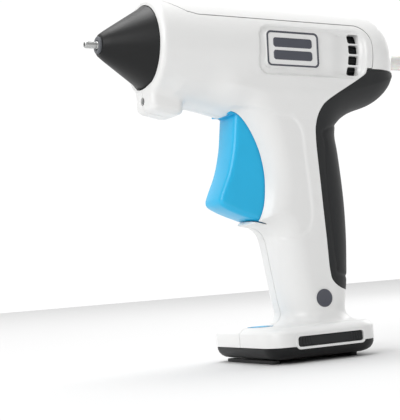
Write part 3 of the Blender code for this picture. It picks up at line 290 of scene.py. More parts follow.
def net(name, field, low, high, step, pulls=3):
    """Surface net: one point in each cell that the zero level crosses, at the middle of its
    crossings, then pulled along the field's slope until the field there is zero."""
    axes = [np.arange(a, b + step, step) for a, b in zip(low, high)]
    size = tuple(len(axis) for axis in axes)
    value = np.broadcast_to(field(axes[0][:, None, None], axes[1][None, :, None],
                                  axes[2][None, None, :]), size)
    full = value < 0
    corner = np.array([[i, j, k] for i in (0, 1) for j in (0, 1) for k in (0, 1)])
    cell = tuple(n - 1 for n in size)
    views = [full[i:i + cell[0], j:j + cell[1], k:k + cell[2]] for i, j, k in corner]
    some, every = np.logical_or.reduce(views), np.logical_and.reduce(views)
    where = np.argwhere(some & ~every)
    at = where[:, None, :] + corner[None]
    c = value[at[..., 0], at[..., 1], at[..., 2]]
    pairs = np.array([(a, b) for a in range(8) for b in range(a + 1, 8)
                      if np.abs(corner[a] - corner[b]).sum() == 1])
    fa, fb = c[:, pairs[:, 0]], c[:, pairs[:, 1]]
    cross = (fa < 0) != (fb < 0)
    t = np.where(cross, fa / np.where(cross, fa - fb, 1), 0)[..., None]
    spot = corner[pairs[:, 0]] + t * (corner[pairs[:, 1]] - corner[pairs[:, 0]])
    middle = (spot * cross[..., None]).sum(1) / cross.sum(1)[:, None]
    points = np.array([axis[0] for axis in axes]) + (where + middle) * step
    number = np.full(cell, -1)
    number[tuple(where.T)] = np.arange(len(where))
    quads = []
    for d in range(3):
        e1, e2 = (d + 1) % 3, (d + 2) % 3
        low_end = np.take(full, range(size[d] - 1), d)
        high_end = np.take(full, range(1, size[d]), d)
        edge = np.argwhere(low_end != high_end)
        edge = edge[(edge[:, e1] > 0) & (edge[:, e2] > 0)
                    & (edge[:, e1] < cell[e1]) & (edge[:, e2] < cell[e2])]
        loop = []
        for s1, s2 in ((1, 1), (0, 1), (0, 0), (1, 0)):
            near = edge.copy()
            near[:, e1] -= s1
            near[:, e2] -= s2
            loop.append(number[tuple(near.T)])
        quad = np.stack(loop, -1)
        turn = ~low_end[tuple(edge.T)]
        quad[turn] = quad[turn][:, ::-1]
        quads.append(quad)
    nudge = 0.02
    for _ in range(pulls):
        x, y, z = points.T
        slope = np.stack([(field(x + nudge, y, z) - field(x - nudge, y, z)),
                          (field(x, y + nudge, z) - field(x, y - nudge, z)),
                          (field(x, y, z + nudge) - field(x, y, z - nudge))], -1) / (2 * nudge)
        move = (field(x, y, z) / np.maximum((slope ** 2).sum(-1), 0.05))[:, None] * slope
        length = np.linalg.norm(move, axis=1, keepdims=True)
        points = points - move * np.minimum(1, 0.4 * step / np.maximum(length, 1e-9))
    piece = new_piece(name, points, np.concatenate(quads), weld=False)
    print(name, "net:", len(points), "points,", open_edges(piece), "open edges")
    return piece


# %% [markdown]
# ## The shape of the body
# Seen from the side the grip, its web under the barrel and the keel behind the lamp are one
# outline. Across, the grip is some 30 mm wide with round edges. The nose boss is a small box, and
# the foot of the grip flares into the base.

# %% Body outline and fields
GRIP_OUTLINE = smooth_line([
    (-53.0, 132.0), (-51.0, 121.0), (-45.8, 118.2), (-37.2, 116.4), (-28.6, 114.2), (-22.6, 112.6),
    (-17.6, 110.4), (-12.8, 103.4), (-9.4, 94.6), (-7.9, 85.7), (-8.0, 78.5), (-9.2, 71.2),
    (-11.4, 66.0), (-13.6, 63.6), (-13.8, 62.0), (-8.4, 60.6), (-4.7, 57.4), (-3.1, 52.4),
    (-1.4, 41.1), (0.6, 27.6), (2.0, 20.0), (2.2, 9.0), (33.4, 9.0), (32.6, 17.5), (33.2, 23.0),
    (34.8, 31.2), (36.0, 40.1), (37.2, 56.4), (37.2, 73.0), (35.9, 92.8), (34.9, 101.9),
    (36.9, 107.4), (43.0, 111.9), (53.4, 117.2), (62.8, 122.6), (66.4, 127.0), (65.0, 131.0),
    (40.0, 132.4), (0.0, 134.0), (-30.0, 135.0)], 5, closed=True)
HALF_WIDTH = np.array([(9.0, 18.4), (21.0, 15.7), (41.0, 14.8), (60.0, 15.0), (80.0, 15.8),
                       (96.0, 16.2), (108.0, 17.0), (114.0, 17.9), (122.0, 19.0), (130.0, 19.3)])
KEEL_NARROWS = 5.0
RELIEF = smooth_line([(-26.0, 111.4), (0.5, 110.6), (6.9, 109.2), (11.2, 103.5), (12.2, 93.6),
                      (13.6, 75.9), (14.1, 65.5), (12.2, 58.8), (7.4, 55.5), (1.6, 54.8),
                      (-7.6, 56.5), (-26.0, 60.0)], 4, closed=True)
PANEL = (-10.2, 46.6, -12.9, 8.9)
PAD = smooth_line([(25.6, 104.0), (23.7, 96.0), (23.4, 80.0), (24.6, 57.0), (25.6, 42.0),
                   (28.4, 37.4), (60.0, 36.0), (60.0, 104.0)], 4, closed=True)


def barrel_distance(s, y, h, shrink=0.0):
    """Tube round the axis with a small round at the front and a superellipse dome behind."""
    rho = np.hypot(y, h)
    radius = BARREL_R - shrink
    share = np.maximum(s - (REAR_S - DOME_L), 0) / (DOME_L - shrink)
    tube = radius * (((rho / radius) ** 2.1 + share ** 2.1) ** (1 / 2.1) - 1)
    return round_both(tube, NOSE_S + shrink - s, 2.4)


def grip_distance(x, y, z):
    """Inside the side outline and within the half width, with the edges between well rounded."""
    half = np.interp(z, *HALF_WIDTH.T) - KEEL_NARROWS * smoothstep((-19.0 - x) / 16.0)
    side = outline_distance(x, z, GRIP_OUTLINE)
    return round_both(side, np.abs(y) - half, 0.84 * half)


def boss_distance(s, y, h):
    """Small box under the nose whose underside slopes down to the rear."""
    floor = -28.4 - 2.2 * np.clip((s + 58.6) / 10.6, 0, 1)
    plan = rounded_distance(s, y, (-58.6, -42.4, -9.3, 9.3), 3.4)
    return round_both(plan, np.maximum(floor - h, h + 17.0 - 0.12 * (s + 58.6)), 2.6)


def plain_body(x, y, z):
    """Barrel, grip, boss and the flare into the base, blended, with no panels."""
    s, h = to_barrel(x, z)
    body = blend(barrel_distance(s, y, h), grip_distance(x, y, z), 8.0)
    body = blend(body, boss_distance(s, y, h), 1.8)
    deck = np.maximum(rounded_distance(x, y, (-14.0, 33.0, -26.0, 26.0), 6.0),
                      np.abs(z - 12.5) - 3.0)
    return blend(body, deck, 7.0)


def body_field(x, y, z):
    """The plain body with its side recess, the scoop in front of the vents and the thumb relief."""
    s, h = to_barrel(x, z)
    edge = rounded_distance(s, h, PANEL, 6.0)
    sunk = 1.1 * smoothstep((0.5 - edge) / 1.3)
    scoop = 1.5 * smoothstep((s - 27.0) / 10.0) * smoothstep((-0.9 - edge) / 1.6)
    relief = 0.45 * smoothstep(0.5 - outline_distance(x, z, RELIEF) / 1.6)
    flank = smoothstep((np.abs(y) - 8.0) / 3.0)
    crease = 0.5 * np.exp(-(outline_distance(x, z, PAD) / 0.8) ** 2)
    crease = crease * smoothstep((np.abs(y) - 4.0) / 5.0)
    return plain_body(x, y, z) + (sunk + scoop + relief) * flank + crease


# %% [markdown]
# ## From fields to solids
# Only the left half is meshed. Its reflection makes the other half, so the two sides agree. A
# second net, moved inwards, is the room inside, and the base is a stack of rounded rings.

# %% Solids of the body
FINE = 0.66
WALL, REAR_EXTRA = 2.2, 2.2
STRAP_T = 1.6
GAP, COVER_GAP = 0.3, 0.42
PROUD = 60.0


def mirrored(source, name):
    """The same solid reflected in the middle plane, with its faces turned back outwards."""
    made = copy_of(source, name)
    made.data.transform(Matrix.Scale(-1, 4, Vector((0, 1, 0))))
    made.data.flip_normals()
    return made


def both_sides(name, field, step):
    """A body that is the same on both sides: the left half as a net, joined to its reflection."""
    half = net(name, lambda x, y, z: np.maximum(field(x, y, z), y - 1.0),
               (-62.0, -31.5, 6.0), (74.0, 2.5, 168.0), step)
    return carve(half, mirrored(half, name + "_right"), 'UNION')


def body_slab(inset, z0, z1, name):
    """Rounded slab of the base, between two heights."""
    return upright(name, rounded(BASE_X0 + inset, BASE_X1 - inset, inset - BASE_HALF_W,
                                 BASE_HALF_W - inset, BASE_CORNER - inset, 10), z0, z1)


def base_rings(levels):
    """Rings of the base outline: each level is an inset and a height."""
    rings = []
    for inset, z in levels:
        line = rounded(BASE_X0 + inset, BASE_X1 - inset, inset - BASE_HALF_W,
                       BASE_HALF_W - inset, max(BASE_CORNER - inset, 1.0), 12)
        rings.append(np.column_stack([line, np.full(len(line), z)]))
    return rings


BASE_X0, BASE_X1 = -20.4, 36.0
BASE_HALF_W, BASE_CORNER = 30.5, 10.0
BASE_SPLIT, DECK_Z = 7.4, 15.8
outer = both_sides("body_outer", body_field, FINE)


def room_field(x, y, z):
    """The plain body moved in by the wall, which is thicker round the vents and the rear."""
    s, _ = to_barrel(x, z)
    thick = smoothstep((s - 29.0) / 4.0) * smoothstep((z - 118) / 6)
    return plain_body(x, y, z) + WALL + REAR_EXTRA * thick


inner = both_sides("body_inner", room_field, 2.0 * FINE)
base = skin("base", base_rings([(0, BASE_SPLIT), (0, 13.0), (0.25, 13.7), (0.8, 14.3),
                                (2.3, 15.4), (3.0, 15.7), (3.9, DECK_Z)]))
base_room = body_slab(WALL, BASE_SPLIT - 5, DECK_Z - WALL, "base_room")
below = body_slab(-8.0, 0.0, BASE_SPLIT, "below_base")
print("outer:", len(outer.data.polygons), "inner:", len(inner.data.polygons))

# %% [markdown]
# ## Parting lines
# The real body is several mouldings: two halves that meet in the middle, a cover over the top, a
# cap at the rear and a rubber strap down the back. Each is cut from the one body with prisms, with
# a gap of 0.3 mm between neighbours, so every seam on the surface is a real gap.

# %% Cut the mouldings apart
SEAM_Z, CAP_SEAM_X = 12.4, 43.0
COVER_EDGE = [(-59.0, 24.5), (-50.5, 17.9), (-43.5, 13.6), (-38.5, SEAM_Z)]
CAP_CORNER = smooth_line([(CAP_SEAM_X, SEAM_Z), (46.4, 11.0), (49.0, 8.0), (50.2, 4.0),
                          (50.4, -4.0), (50.4, -8.2)], 5)
STRAP_EDGE = smooth_line([(47.5, 141.0), (47.4, 131.0), (44.0, 127.0), (27.0, 117.6),
                          (21.6, 112.6), (19.1, 106.0), (18.7, 99.0), (19.6, 80.0), (20.9, 57.0),
                          (21.5, 39.0), (22.8, 34.0), (27.0, 31.0), (33.0, 29.6)], 5)


def moved_out(line, grow):
    """An open line moved sideways, to its left, by grow."""
    along = np.gradient(np.asarray(line, float), axis=0)
    along /= np.linalg.norm(along, axis=1, keepdims=True)
    return line + grow * np.column_stack([-along[:, 1], along[:, 0]])


def cover_zone(grow):
    """Prism of the top cover: above its edge, grown all round."""
    edge = [(s, h - grow) for s, h in COVER_EDGE]
    return prism("cover_zone", edge + [(CAP_SEAM_X + grow, SEAM_Z - grow),
                                       (CAP_SEAM_X + grow, PROUD), (-59.0, PROUD)],
                 -PROUD, PROUD, barrel=True)


def cap_zone(grow):
    """Prism of the rear cap: behind its corner line, grown all round."""
    edge = CAP_CORNER - grow
    tail = [(REAR_S + PROUD, edge[-1][1]), (REAR_S + PROUD, PROUD), (CAP_SEAM_X - grow, PROUD)]
    return prism("cap_zone", np.concatenate([edge, tail]), -PROUD, PROUD, barrel=True)


def strap_zone(grow):
    """Prism of the strap: behind its front edge, grown all round."""
    edge = moved_out(STRAP_EDGE, -grow)
    tail = [(REAR_S + PROUD, edge[-1][1]), (REAR_S + PROUD, edge[0][1])]
    return prism("strap_zone", np.concatenate([edge, tail]), -PROUD, PROUD)


def block(name, x0, x1, y0, y1, z0, z1, barrel=False):
    """Box between two values on each axis, along the world or along the barrel."""
    return prism(name, [(x0, z0), (x1, z0), (x1, z1), (x0, z1)], y0, y1, barrel)


def under_cap(drop):
    """Everything below the lower edge of the rear cap, less a drop."""
    return block("under_cap", -100, 120, -PROUD, PROUD, -200, CAP_CORNER[-1][1] - drop, True)


INNER_R, CAP_WALL = 19.6, 2.4
core = turned("core", [(-90, 0), (-90, INNER_R), (90, INNER_R), (90, 0)])
top_cover = carve(carve(copy_of(outer, "top_cover_shell"), cover_zone(0), 'INTERSECT'), core)
cap_core = turned("cap_core", [(0, 0), (0, BARREL_R - CAP_WALL)] + [
    (52.8 + 14.6 * t, (BARREL_R - CAP_WALL) * (1 - t ** 2.1) ** (1 / 2.1))
    for t in np.linspace(0, 1, 16)])
rear_cap = carve(carve(copy_of(outer, "rear_cap_shell"), cap_zone(0), 'INTERSECT'), cap_core)
STICK_R = 3.6
rear_cap = carve(rear_cap, turned("stick_hole", [(20, 0), (20, STICK_R + 0.5),
                                                 (90, STICK_R + 0.5), (90, 0)]))
strap_inner = both_sides("strap_inner", lambda x, y, z: plain_body(x, y, z) + STRAP_T, 2.0 * FINE)
strap = carve(carve(copy_of(outer, "backstrap_skin"), strap_zone(0), 'INTERSECT'),
              under_cap(GAP), 'INTERSECT')
strap = carve(strap, strap_inner)

# %% [markdown]
# ## The two housing halves
# What is left is hollowed out, joined to the base, and opened for the cone, the lever, the button,
# the charge port and the lamp. The vents are four slots at the deep end of the side scoop.

# %% Housing halves
step_core = both_sides("strap_seat", lambda x, y, z: plain_body(x, y, z) + STRAP_T + GAP,
                       2.0 * FINE)
carve(inner, block("room_top", -61, 80, -40, 40, 17.0, 200), 'INTERSECT')
shell = carve(outer, below)
shell = carve(shell, base, 'UNION')
# The strap's seat: in the strap zone, what lies outside the seat surface comes off.
seat = carve(carve(strap_zone(GAP), under_cap(-GAP), 'INTERSECT'), step_core)
shell = carve(shell, seat)
shell = carve(shell, base_room)
shell = carve(shell, inner)
shell = carve(shell, cover_zone(COVER_GAP))
shell = carve(shell, cap_zone(COVER_GAP))
shell = carve(shell, turned("mouth", [(-70, 0), (-70, 18.8), (-54.5, 18.8), (-54.5, 19.6),
                                      (-50, 19.6), (-50, 0)]))
SLOT_Z0, SLOT_Z1, SLOT_HALF = 61.8, 113.6, 9.0
slot_line = [(-40, 73.8), (-12.5, 63.3), (-6.6, SLOT_Z0), (8, SLOT_Z0), (8, SLOT_Z1),
             (-20.7, SLOT_Z1), (-21.4, SLOT_Z1 - 9), (-40, SLOT_Z1 - 13)]
shell = carve(shell, prism("lever_slot", slot_line, -SLOT_HALF, SLOT_HALF))
BUTTON_X, RING_R = -9.3, 5.9
shell = carve(shell, standing("button_hole", [(0, 9.8), (RING_R + GAP, 9.8),
                                              (RING_R + GAP, 30), (0, 30)], BUTTON_X, 0))
LAMP_HOLE_R = 1.9
shell = carve(shell, turned("lamp_hole", [(-70, 0), (-70, LAMP_HOLE_R), (-50, LAMP_HOLE_R),
                                          (-50, 0)],
                            40, (0.0, -24.0)))
shell = carve(shell, block("charge_port", 31, 50, -4.8, 4.8, 9.6, 13.4))
VENT_PITCH, VENT_H = 4.95, 4.1
VENTS = [-11.3 + VENT_PITCH * k for k in range(4)]
for side in (-1, 1):
    for low in VENTS:
        line = rounded(38.2, 43.9, low - 0.15, low + VENT_H, 1.0, 5)
        shell = carve(shell, prism("vent", line, side * 10.0, side * 30.0, True))
print("shell:", len(shell.data.polygons), "faces")

# %% [markdown]
# ## Rims, screw wells and the middle seam
# Each side of the base has a raised rim round a rubber strip. The two halves meet at a fine seam,
# and the screws go in from the right, so only that half has wells. Cutting one whole shell in two
# keeps both halves in line.

# %% Rims on the base, screws, and the middle seam
RIM = (-9.3, 26.6, 6.1, 12.7)
RIM_IN, RIM_OUT, RIM_FLOOR = 28.4, 30.8, 29.5
for side in (-1, 1):
    rim = prism("rim", rounded(*RIM, 2.2, 6), side * RIM_IN, side * RIM_OUT)
    shell = carve(shell, rim, 'UNION')
    well = prism("strip_well", rounded(RIM[0] + 1, RIM[1] - 1, RIM[2] + 1, RIM[3] - 1, 1.4, 6),
                 side * RIM_FLOOR, side * 40)
    shell = carve(shell, well)
HALF_SEAM, WELL_R, HEAD_SEAT = 0.18, 2.75, 5.0
left_shell = carve(copy_of(shell, "left_shell"),
                   block("left_side", -100, 100, -80, -HALF_SEAM, -10, 200), 'INTERSECT')
right_shell = carve(shell, block("right_side", -100, 100, HALF_SEAM, 80, -10, 200), 'INTERSECT')
right_shell.name = "right_shell"
SCREWS = [(-35.5, 124.5), (12.0, 123.6), (46.0, 121.3), (2.0, 54.0), (28.6, 17.8)]
for x, z in SCREWS:
    carve(right_shell, prism("screw_well", circle(x, z, WELL_R), HEAD_SEAT, 40))
for piece in (top_cover, rear_cap, strap, left_shell, right_shell):
    shade(piece)
    print(piece.name, "triangles:", sum(len(p.vertices) - 2 for p in piece.data.polygons))

# %% [markdown]
# ## Nose, tube, stick and small round parts
# The cone, the silicone collar, the nickel-plated nozzle and the glue stick were all turned or
# moulded round one line, so each is a profile carried round the barrel axis. Every edge of a
# profile has its small real radius, because a sharp edge never catches the light.

# %% Round parts
def eased(profile, radius=0.3, steps=4):
    """Closed profile with each corner replaced by a small quadratic curve."""
    p = np.asarray(profile, float)
    before, after = np.roll(p, 1, 0), np.roll(p, -1, 0)
    to_before, to_after = before - p, after - p
    lb = np.linalg.norm(to_before, axis=1, keepdims=True)
    la = np.linalg.norm(to_after, axis=1, keepdims=True)
    r = np.minimum(radius, 0.45 * np.minimum(lb, la))
    a, c = p + to_before / lb * r, p + to_after / la * r
    t = (np.arange(steps + 1) / steps)[None, :, None]
    line = a[:, None] * (1 - t) ** 2 + 2 * p[:, None] * t * (1 - t) + c[:, None] * t ** 2
    return line.reshape(-1, 2)


def ring_piece(name, profile, radius=0.3, sides=144, centre=(0.0, 0.0)):
    return shade(turned(name, eased(profile, radius), sides, centre, closed=True))


cone = ring_piece("cone_nose", [(-78.3, 3.4), (-78.3, 4.9), (-75.5, 6.9), (-57.5, 18.5),
                                (-54.2, 18.5), (-54.2, 19.3), (-52.6, 19.3), (-52.6, 16.9),
                                (-57.5, 16.5), (-73.8, 5.9), (-76.0, 4.1), (-76.0, 3.4)], 0.35)
collar = ring_piece("nose_collar", [(-79.3, 2.1), (-79.3, 3.8), (-77.1, 3.8), (-77.1, 3.1),
                                    (-76.9, 3.1), (-76.9, 2.1)], 0.35)
tube = ring_piece("nozzle_tube", [(-85.0, 0.8), (-85.0, 1.25), (-84.4, 1.55), (-79.6, 1.55),
                                  (-78.8, 1.9), (-76.6, 1.9), (-76.2, 3.3), (-75.4, 3.9),
                                  (-72.5, 3.9), (-72.0, 2.8), (-66.5, 2.8), (-66.5, 1.6),
                                  (-74.0, 1.4), (-78.0, 0.8)], 0.15)
STICK_END = 85.0


def stick_profile():
    """Half outline of a cast glue stick: a slightly dished end with a soft corner."""
    t = np.linspace(0, pi / 2, 6)
    end = [(STICK_END - 0.35 + 0.35 * sin(a), STICK_R - 0.35 + 0.35 * cos(a)) for a in t]
    dish = [(STICK_END - 0.1, STICK_R - 1.2), (STICK_END - 0.2, 1.4), (STICK_END - 0.22, 0.0)]
    return [(-15.0, 0.0), (-15.0, STICK_R - 0.2), (-14.8, STICK_R)] + end + dish


stick = shade(turned("stick_rod", stick_profile(), 96))
lens = shade(turned("lens_dome", [(-53.4, 0), (-53.4, 1.6), (-57.9, 1.6), (-58.3, 1.35),
                                  (-58.55, 0.8), (-58.62, 0)], 48, (0.0, -24.0)))
ring = shade(standing("light_ring", eased([(4.4, 12.1), (7.05, 12.1), (7.05, 13.0), (5.9, 13.0),
                                           (5.9, 16.0), (4.4, 16.0)], 0.25), BUTTON_X, 0, 96))


def button_profile():
    """A shallow dished cap with a rounded rim and a short skirt."""
    return [(0.0, 13.4), (4.05, 13.4), (4.1, 14.0), (4.1, 15.55), (3.95, 15.85), (3.6, 16.0),
            (3.1, 15.95), (2.0, 15.78), (1.0, 15.7), (0.0, 15.68)]


button = shade(standing("press_button", button_profile(), BUTTON_X, 0, 96))
print("stick end at", np.round(to_world(STICK_END, 0.0, 0.0), 2))

# %% [markdown]
# ## The lever
# The blue lever is one moulding: a pressing face with all its edges rounded, a hub on the pin and
# two arms that reach up to the carriage. The face uses the same rounded field as the grip.

# %% Lever
LEVER = smooth_line([(-16.6, 118.6), (-18.2, 113.6), (-19.3, 106.2), (-20.7, 97.1),
                     (-23.7, 86.6), (-28.2, 77.0), (-29.3, 73.4), (-27.8, 70.7), (-21.5, 67.4),
                     (-12.5, 64.0), (-6.6, 62.6), (-2.8, 62.8), (-2.0, 66.5), (-1.0, 76.0),
                     (-1.4, 90.0), (-5.0, 103.0), (-8.6, 112.0), (-9.2, 117.6)], 5, closed=True)
LEVER_HALF = 8.5


def lever_field(x, y, z):
    """Inside the lever's outline and half width, with an edge radius of 2 mm."""
    crown = 0.6 * (y / LEVER_HALF) ** 2 * smoothstep((-x - 6.0) / 10.0)
    return round_both(outline_distance(x, z, LEVER) + crown, np.abs(y) - LEVER_HALF, 2.2)


lever = net("lever_face", lever_field, (-33.0, -9.6, 62.0), (1.0, 9.6, 120.4),
            0.5)
PIVOT = (-14.0, 120.0)
PIN_R, PIN_CLEAR = 1.5, 0.25
cad_lever = copy_of(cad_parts["trigger"], "lever_arms")
bm = bmesh.new()
bm.from_mesh(cad_lever.data)
bmesh.ops.remove_doubles(bm, verts=bm.verts, dist=WELD * MM)
bm.to_mesh(cad_lever.data)
bm.free()
carve(cad_lever, block("above_face", -40, 20, -20, 20, 112.5, 170), 'INTERSECT')
carve(lever, cad_lever, 'UNION')
carve(lever, prism("pin_hole", circle(*PIVOT, PIN_R + PIN_CLEAR), -20, 20))
shade(lever, 40)
print("lever:", len(lever.data.polygons), "faces")

# %% [markdown]
# ## Base, trim and badge
# The black dish under the base, the two rubber feet, the ribbed strips, the badge and the round
# marks are flat mouldings set into the body. Each is a rounded outline pushed up in a few rings,
# so its edges are soft.

# %% Flat mouldings
dish = shade(skin("dish_shell", base_rings(
    [(9.0, 1.7), (6.0, 1.85), (3.6, 2.4), (2.0, 3.3), (0.9, 4.6), (0.35, 5.9), (0.25, 7.1),
     (2.2, 7.1), (2.4, 5.9), (3.8, 4.2), (7.0, 3.6)])))
for x, y in ((-12.5, 21.5), (27.5, 21.5), (-12.5, -21.5), (27.5, -21.5)):
    carve(dish, standing("screw_hole", [(0, 0), (2.6, 0), (2.6, 3.4), (1.4, 3.4), (1.4, 9),
                                        (0, 9)], x, y, 32))
shade(dish)


FOOT_HALF_W, FOOT_END = 22.0, 1.9


def foot(name, x0, x1):
    """Rubber bar under the base, with round ends and a soft lower edge."""
    rings = []
    for inset, z in ((0.5, 0.0), (0.15, 0.15), (0.0, 0.45), (0.0, 1.5)):
        line = rounded(x0 + inset, x1 - inset, inset - FOOT_HALF_W, FOOT_HALF_W - inset,
                       FOOT_END - inset, 8)
        rings.append(np.column_stack([line, np.full(len(line), z)]))
    return shade(skin(name, rings))


front_bar, rear_bar = foot("front_bar", -16.4, -12.4), foot("rear_bar", 24.0, 28.0)


def on_side(u, level, v):
    """World points of (x, z) = (u, v) with y = level."""
    return np.stack([u, level, v], -1)


def round_barrel(u, level, v):
    """Points that follow the barrel: level is a radius, so y is sqrt(level^2 - v^2)."""
    return to_world(u, np.sign(level) * np.sqrt(level ** 2 - v ** 2), v)


def relief_sheet(name, side, box, step, height, back, place):
    """Plate as a grid over a box of (u, v): its face is at height(u, v), its back at back."""
    u0, u1, v0, v1 = box
    U, V = np.meshgrid(np.arange(u0, u1 + step / 2, step), np.arange(v0, v1 + step / 2, step),
                       indexing='ij')
    sheets = [place(U, side * level, V) for level in (height(U, V), np.full_like(U, back))]
    rows, cols = U.shape
    face = grid_faces(rows, cols, False, False)
    number = np.arange(rows * cols).reshape(rows, cols)
    around = np.concatenate([number[:, 0], number[-1, 1:], number[-2::-1, -1], number[0, -2:0:-1]])
    after = np.roll(around, -1)
    wall = np.stack([around, after, after + rows * cols, around + rows * cols], -1)
    points = np.concatenate([sheet.reshape(-1, 3) for sheet in sheets])
    faces = np.concatenate([face, face[:, ::-1] + rows * cols, wall])
    return shade(new_piece(name, points, faces))


def raised(box, corner, low, high, ease=0.3):
    """Height that is high inside a rounded rectangle and falls to low over its edge."""
    def height(u, v):
        return high - (high - low) * smoothstep(1 + rounded_distance(u, v, box, corner) / ease)
    return height


STRIP_BOX, STRIP_CORNER = (-8.1, 25.4, 7.25, 11.55), 1.2
RIB_H, RIB_PITCH = 0.24, 1.3


def strip(name, side):
    """Dark grip strip: a smooth middle and, at each end, ribs 1.3 mm apart."""
    plain = raised(STRIP_BOX, STRIP_CORNER, 30.0, 30.4, 0.35)

    def height(u, v):
        middle = (STRIP_BOX[0] + STRIP_BOX[1]) / 2
        ends = smoothstep((np.abs(u - middle) - 10.0) / 0.6)
        edge = rounded_distance(u, v, STRIP_BOX, STRIP_CORNER)
        inside = smoothstep((-edge - 0.5) / 0.4)
        return plain(u, v) + RIB_H * np.cos(2 * pi * u / RIB_PITCH) * ends * inside
    return relief_sheet(name, side, STRIP_BOX, 0.12, height, 29.6, on_side)


def badge(name, side):
    """Flat white plate on the barrel, with a slate frame and two plain slate bars on it."""
    whole, edge = (-7.0, 21.0, -10.0, 7.0), (-6.75, 20.75, -9.75, 6.75)
    plate_top = raised(whole, 2.6, 18.2, 21.3)
    inner = raised((-5.8, 19.8, -8.8, 5.8), 1.7, 0.0, 1.0)

    def frame_height(u, v):
        return raised(edge, 2.4, 18.6, 21.6)(u, v) - 0.55 * inner(u, v)
    slate = relief_sheet(name, side, edge, 0.2, frame_height, 18.3, to_world)
    white = relief_sheet(name + "_field", side, whole, 0.2, plate_top, 18.0, to_world)
    bars = []
    for low in (-6.6, -0.9):
        bar_box = (-3.2, 17.2, low, low + 4.5)
        bars.append(relief_sheet("bar", side, bar_box, 0.2, raised(bar_box, 1.4, 21.2, 21.6),
                                 21.0, to_world))
    return slate, white, shade(joined(name + "_bars", bars))


MARK = (16.5, 26.7)


def mark(name, side):
    """Round slate button set flush in the grip, with a shallow dish."""
    rings = []
    turn = np.arange(64) * 2 * pi / 64
    for radius, y in ((4.0, 14.9), (4.15, 15.5), (4.05, 15.74), (3.7, 15.8), (3.4, 15.66),
                      (1.2, 15.64)):
        rings.append(np.stack([MARK[0] + radius * np.cos(turn), np.full(64, side * y),
                               MARK[1] + radius * np.sin(turn)], -1))
    return shade(skin(name, rings))


BAR_PITCH = 1.25
VENT_BOX = (37.6, 44.6, -12.2, 8.8)


def grille(name, side):
    """Curved black plate behind the vents, with bars 1.25 mm apart."""
    def height(u, v):
        return 16.9 + 0.35 * smoothstep(0.5 + 1.6 * np.cos(2 * pi * v / BAR_PITCH))
    return relief_sheet(name, side, VENT_BOX, 0.16, height, 16.0, round_barrel)


trim = {}
for word, side in (("left", -1), ("right", 1)):
    trim[word] = dict(strip=strip("grip_strip_" + word, side),
                      badge=badge("name_plate_" + word, side),
                      mark=mark("round_mark_" + word, side),
                      grille=grille("vent_bars_" + word, side))
print("trim made for both sides")

# %% [markdown]
# ## Finishes
# Each finish starts from what the real material is. One function turns a hex colour into the linear
# values Blender works in, and one adds a node with its settings and links.

# %% Material helpers
def hex_colour(code):
    """sRGB hex to linear: the low part is divided by 12.92, the rest follows a 2.4 power."""
    c = np.array([int(code[k:k + 2], 16) for k in (1, 3, 5)]) / 255
    line = np.where(c <= 0.04045, c / 12.92, ((c + 0.055) / 1.055) ** 2.4)
    return (*line.tolist(), 1.0)


def add_node(tree, kind, links=(), **settings):
    """Add a node. A setting that is a property of the node is set on it; any other name is an
    input, and iN means input number N. Each link is an input and the socket it comes from."""
    node = tree.nodes.new(kind)
    for key, value in settings.items():
        if key in node.bl_rna.properties and key not in ("inputs", "outputs"):
            setattr(node, key, value)
    for key, value in settings.items():
        if key not in node.bl_rna.properties:
            node.inputs[int(key[1:]) if key[1:].isdigit() else key.replace("_", " ")
                        ].default_value = value
    for key, source in links:
        tree.links.new(source, node.inputs[key])
    return node


def finish(name, colour, roughness, grain_mm, grain_depth, shift=0.05, rough_swing=0.08,
           patch_mm=9.0, **shader):
    """Surface with a slow change of tone, a change of gloss and a fine grain as bump."""
    made = bpy.data.materials.new(name)
    made.use_nodes = True
    tree = made.node_tree
    skin_node = tree.nodes["Principled BSDF"]
    for key, value in shader.items():
        skin_node.inputs[key.replace("_", " ")].default_value = value
    place = add_node(tree, "ShaderNodeTexCoord").outputs["Object"]
    slow = add_node(tree, "ShaderNodeTexNoise", [("Vector", place)],
                    Scale=1000.0 / patch_mm, Detail=3.0, Roughness=0.55)
    fine = add_node(tree, "ShaderNodeTexNoise", [("Vector", place)],
                    Scale=1000.0 / grain_mm, Detail=2.0, Roughness=0.6)
    base_colour = np.array(hex_colour(colour))
    tone = add_node(tree, "ShaderNodeMixRGB", [("Fac", slow.outputs["Fac"])],
                    Color1=tuple(np.clip(base_colour * (1 - shift), 0, 1)[:3]) + (1.0,),
                    Color2=tuple(np.clip(base_colour * (1 + shift), 0, 1)[:3]) + (1.0,))
    gloss = add_node(tree, "ShaderNodeMapRange", [("Value", slow.outputs["Fac"])],
                     i3=roughness - rough_swing, i4=roughness + rough_swing)
    bump = add_node(tree, "ShaderNodeBump", [("Height", fine.outputs["Fac"])],
                    Strength=1.0, Distance=grain_depth * MM)
    tree.links.new(tone.outputs["Color"], skin_node.inputs["Base Color"])
    tree.links.new(gloss.outputs["Result"], skin_node.inputs["Roughness"])
    tree.links.new(bump.outputs["Normal"], skin_node.inputs["Normal"])
    return made


# %% [markdown]
# ## The materials
# Moulded plastics differ in tone and in the texture of the mould: the white body is polished, the
# cone and dish are finely spark-eroded, the rubber is matt. Metals are given by how they were
# made: drawn and plated, rolled, or cast.

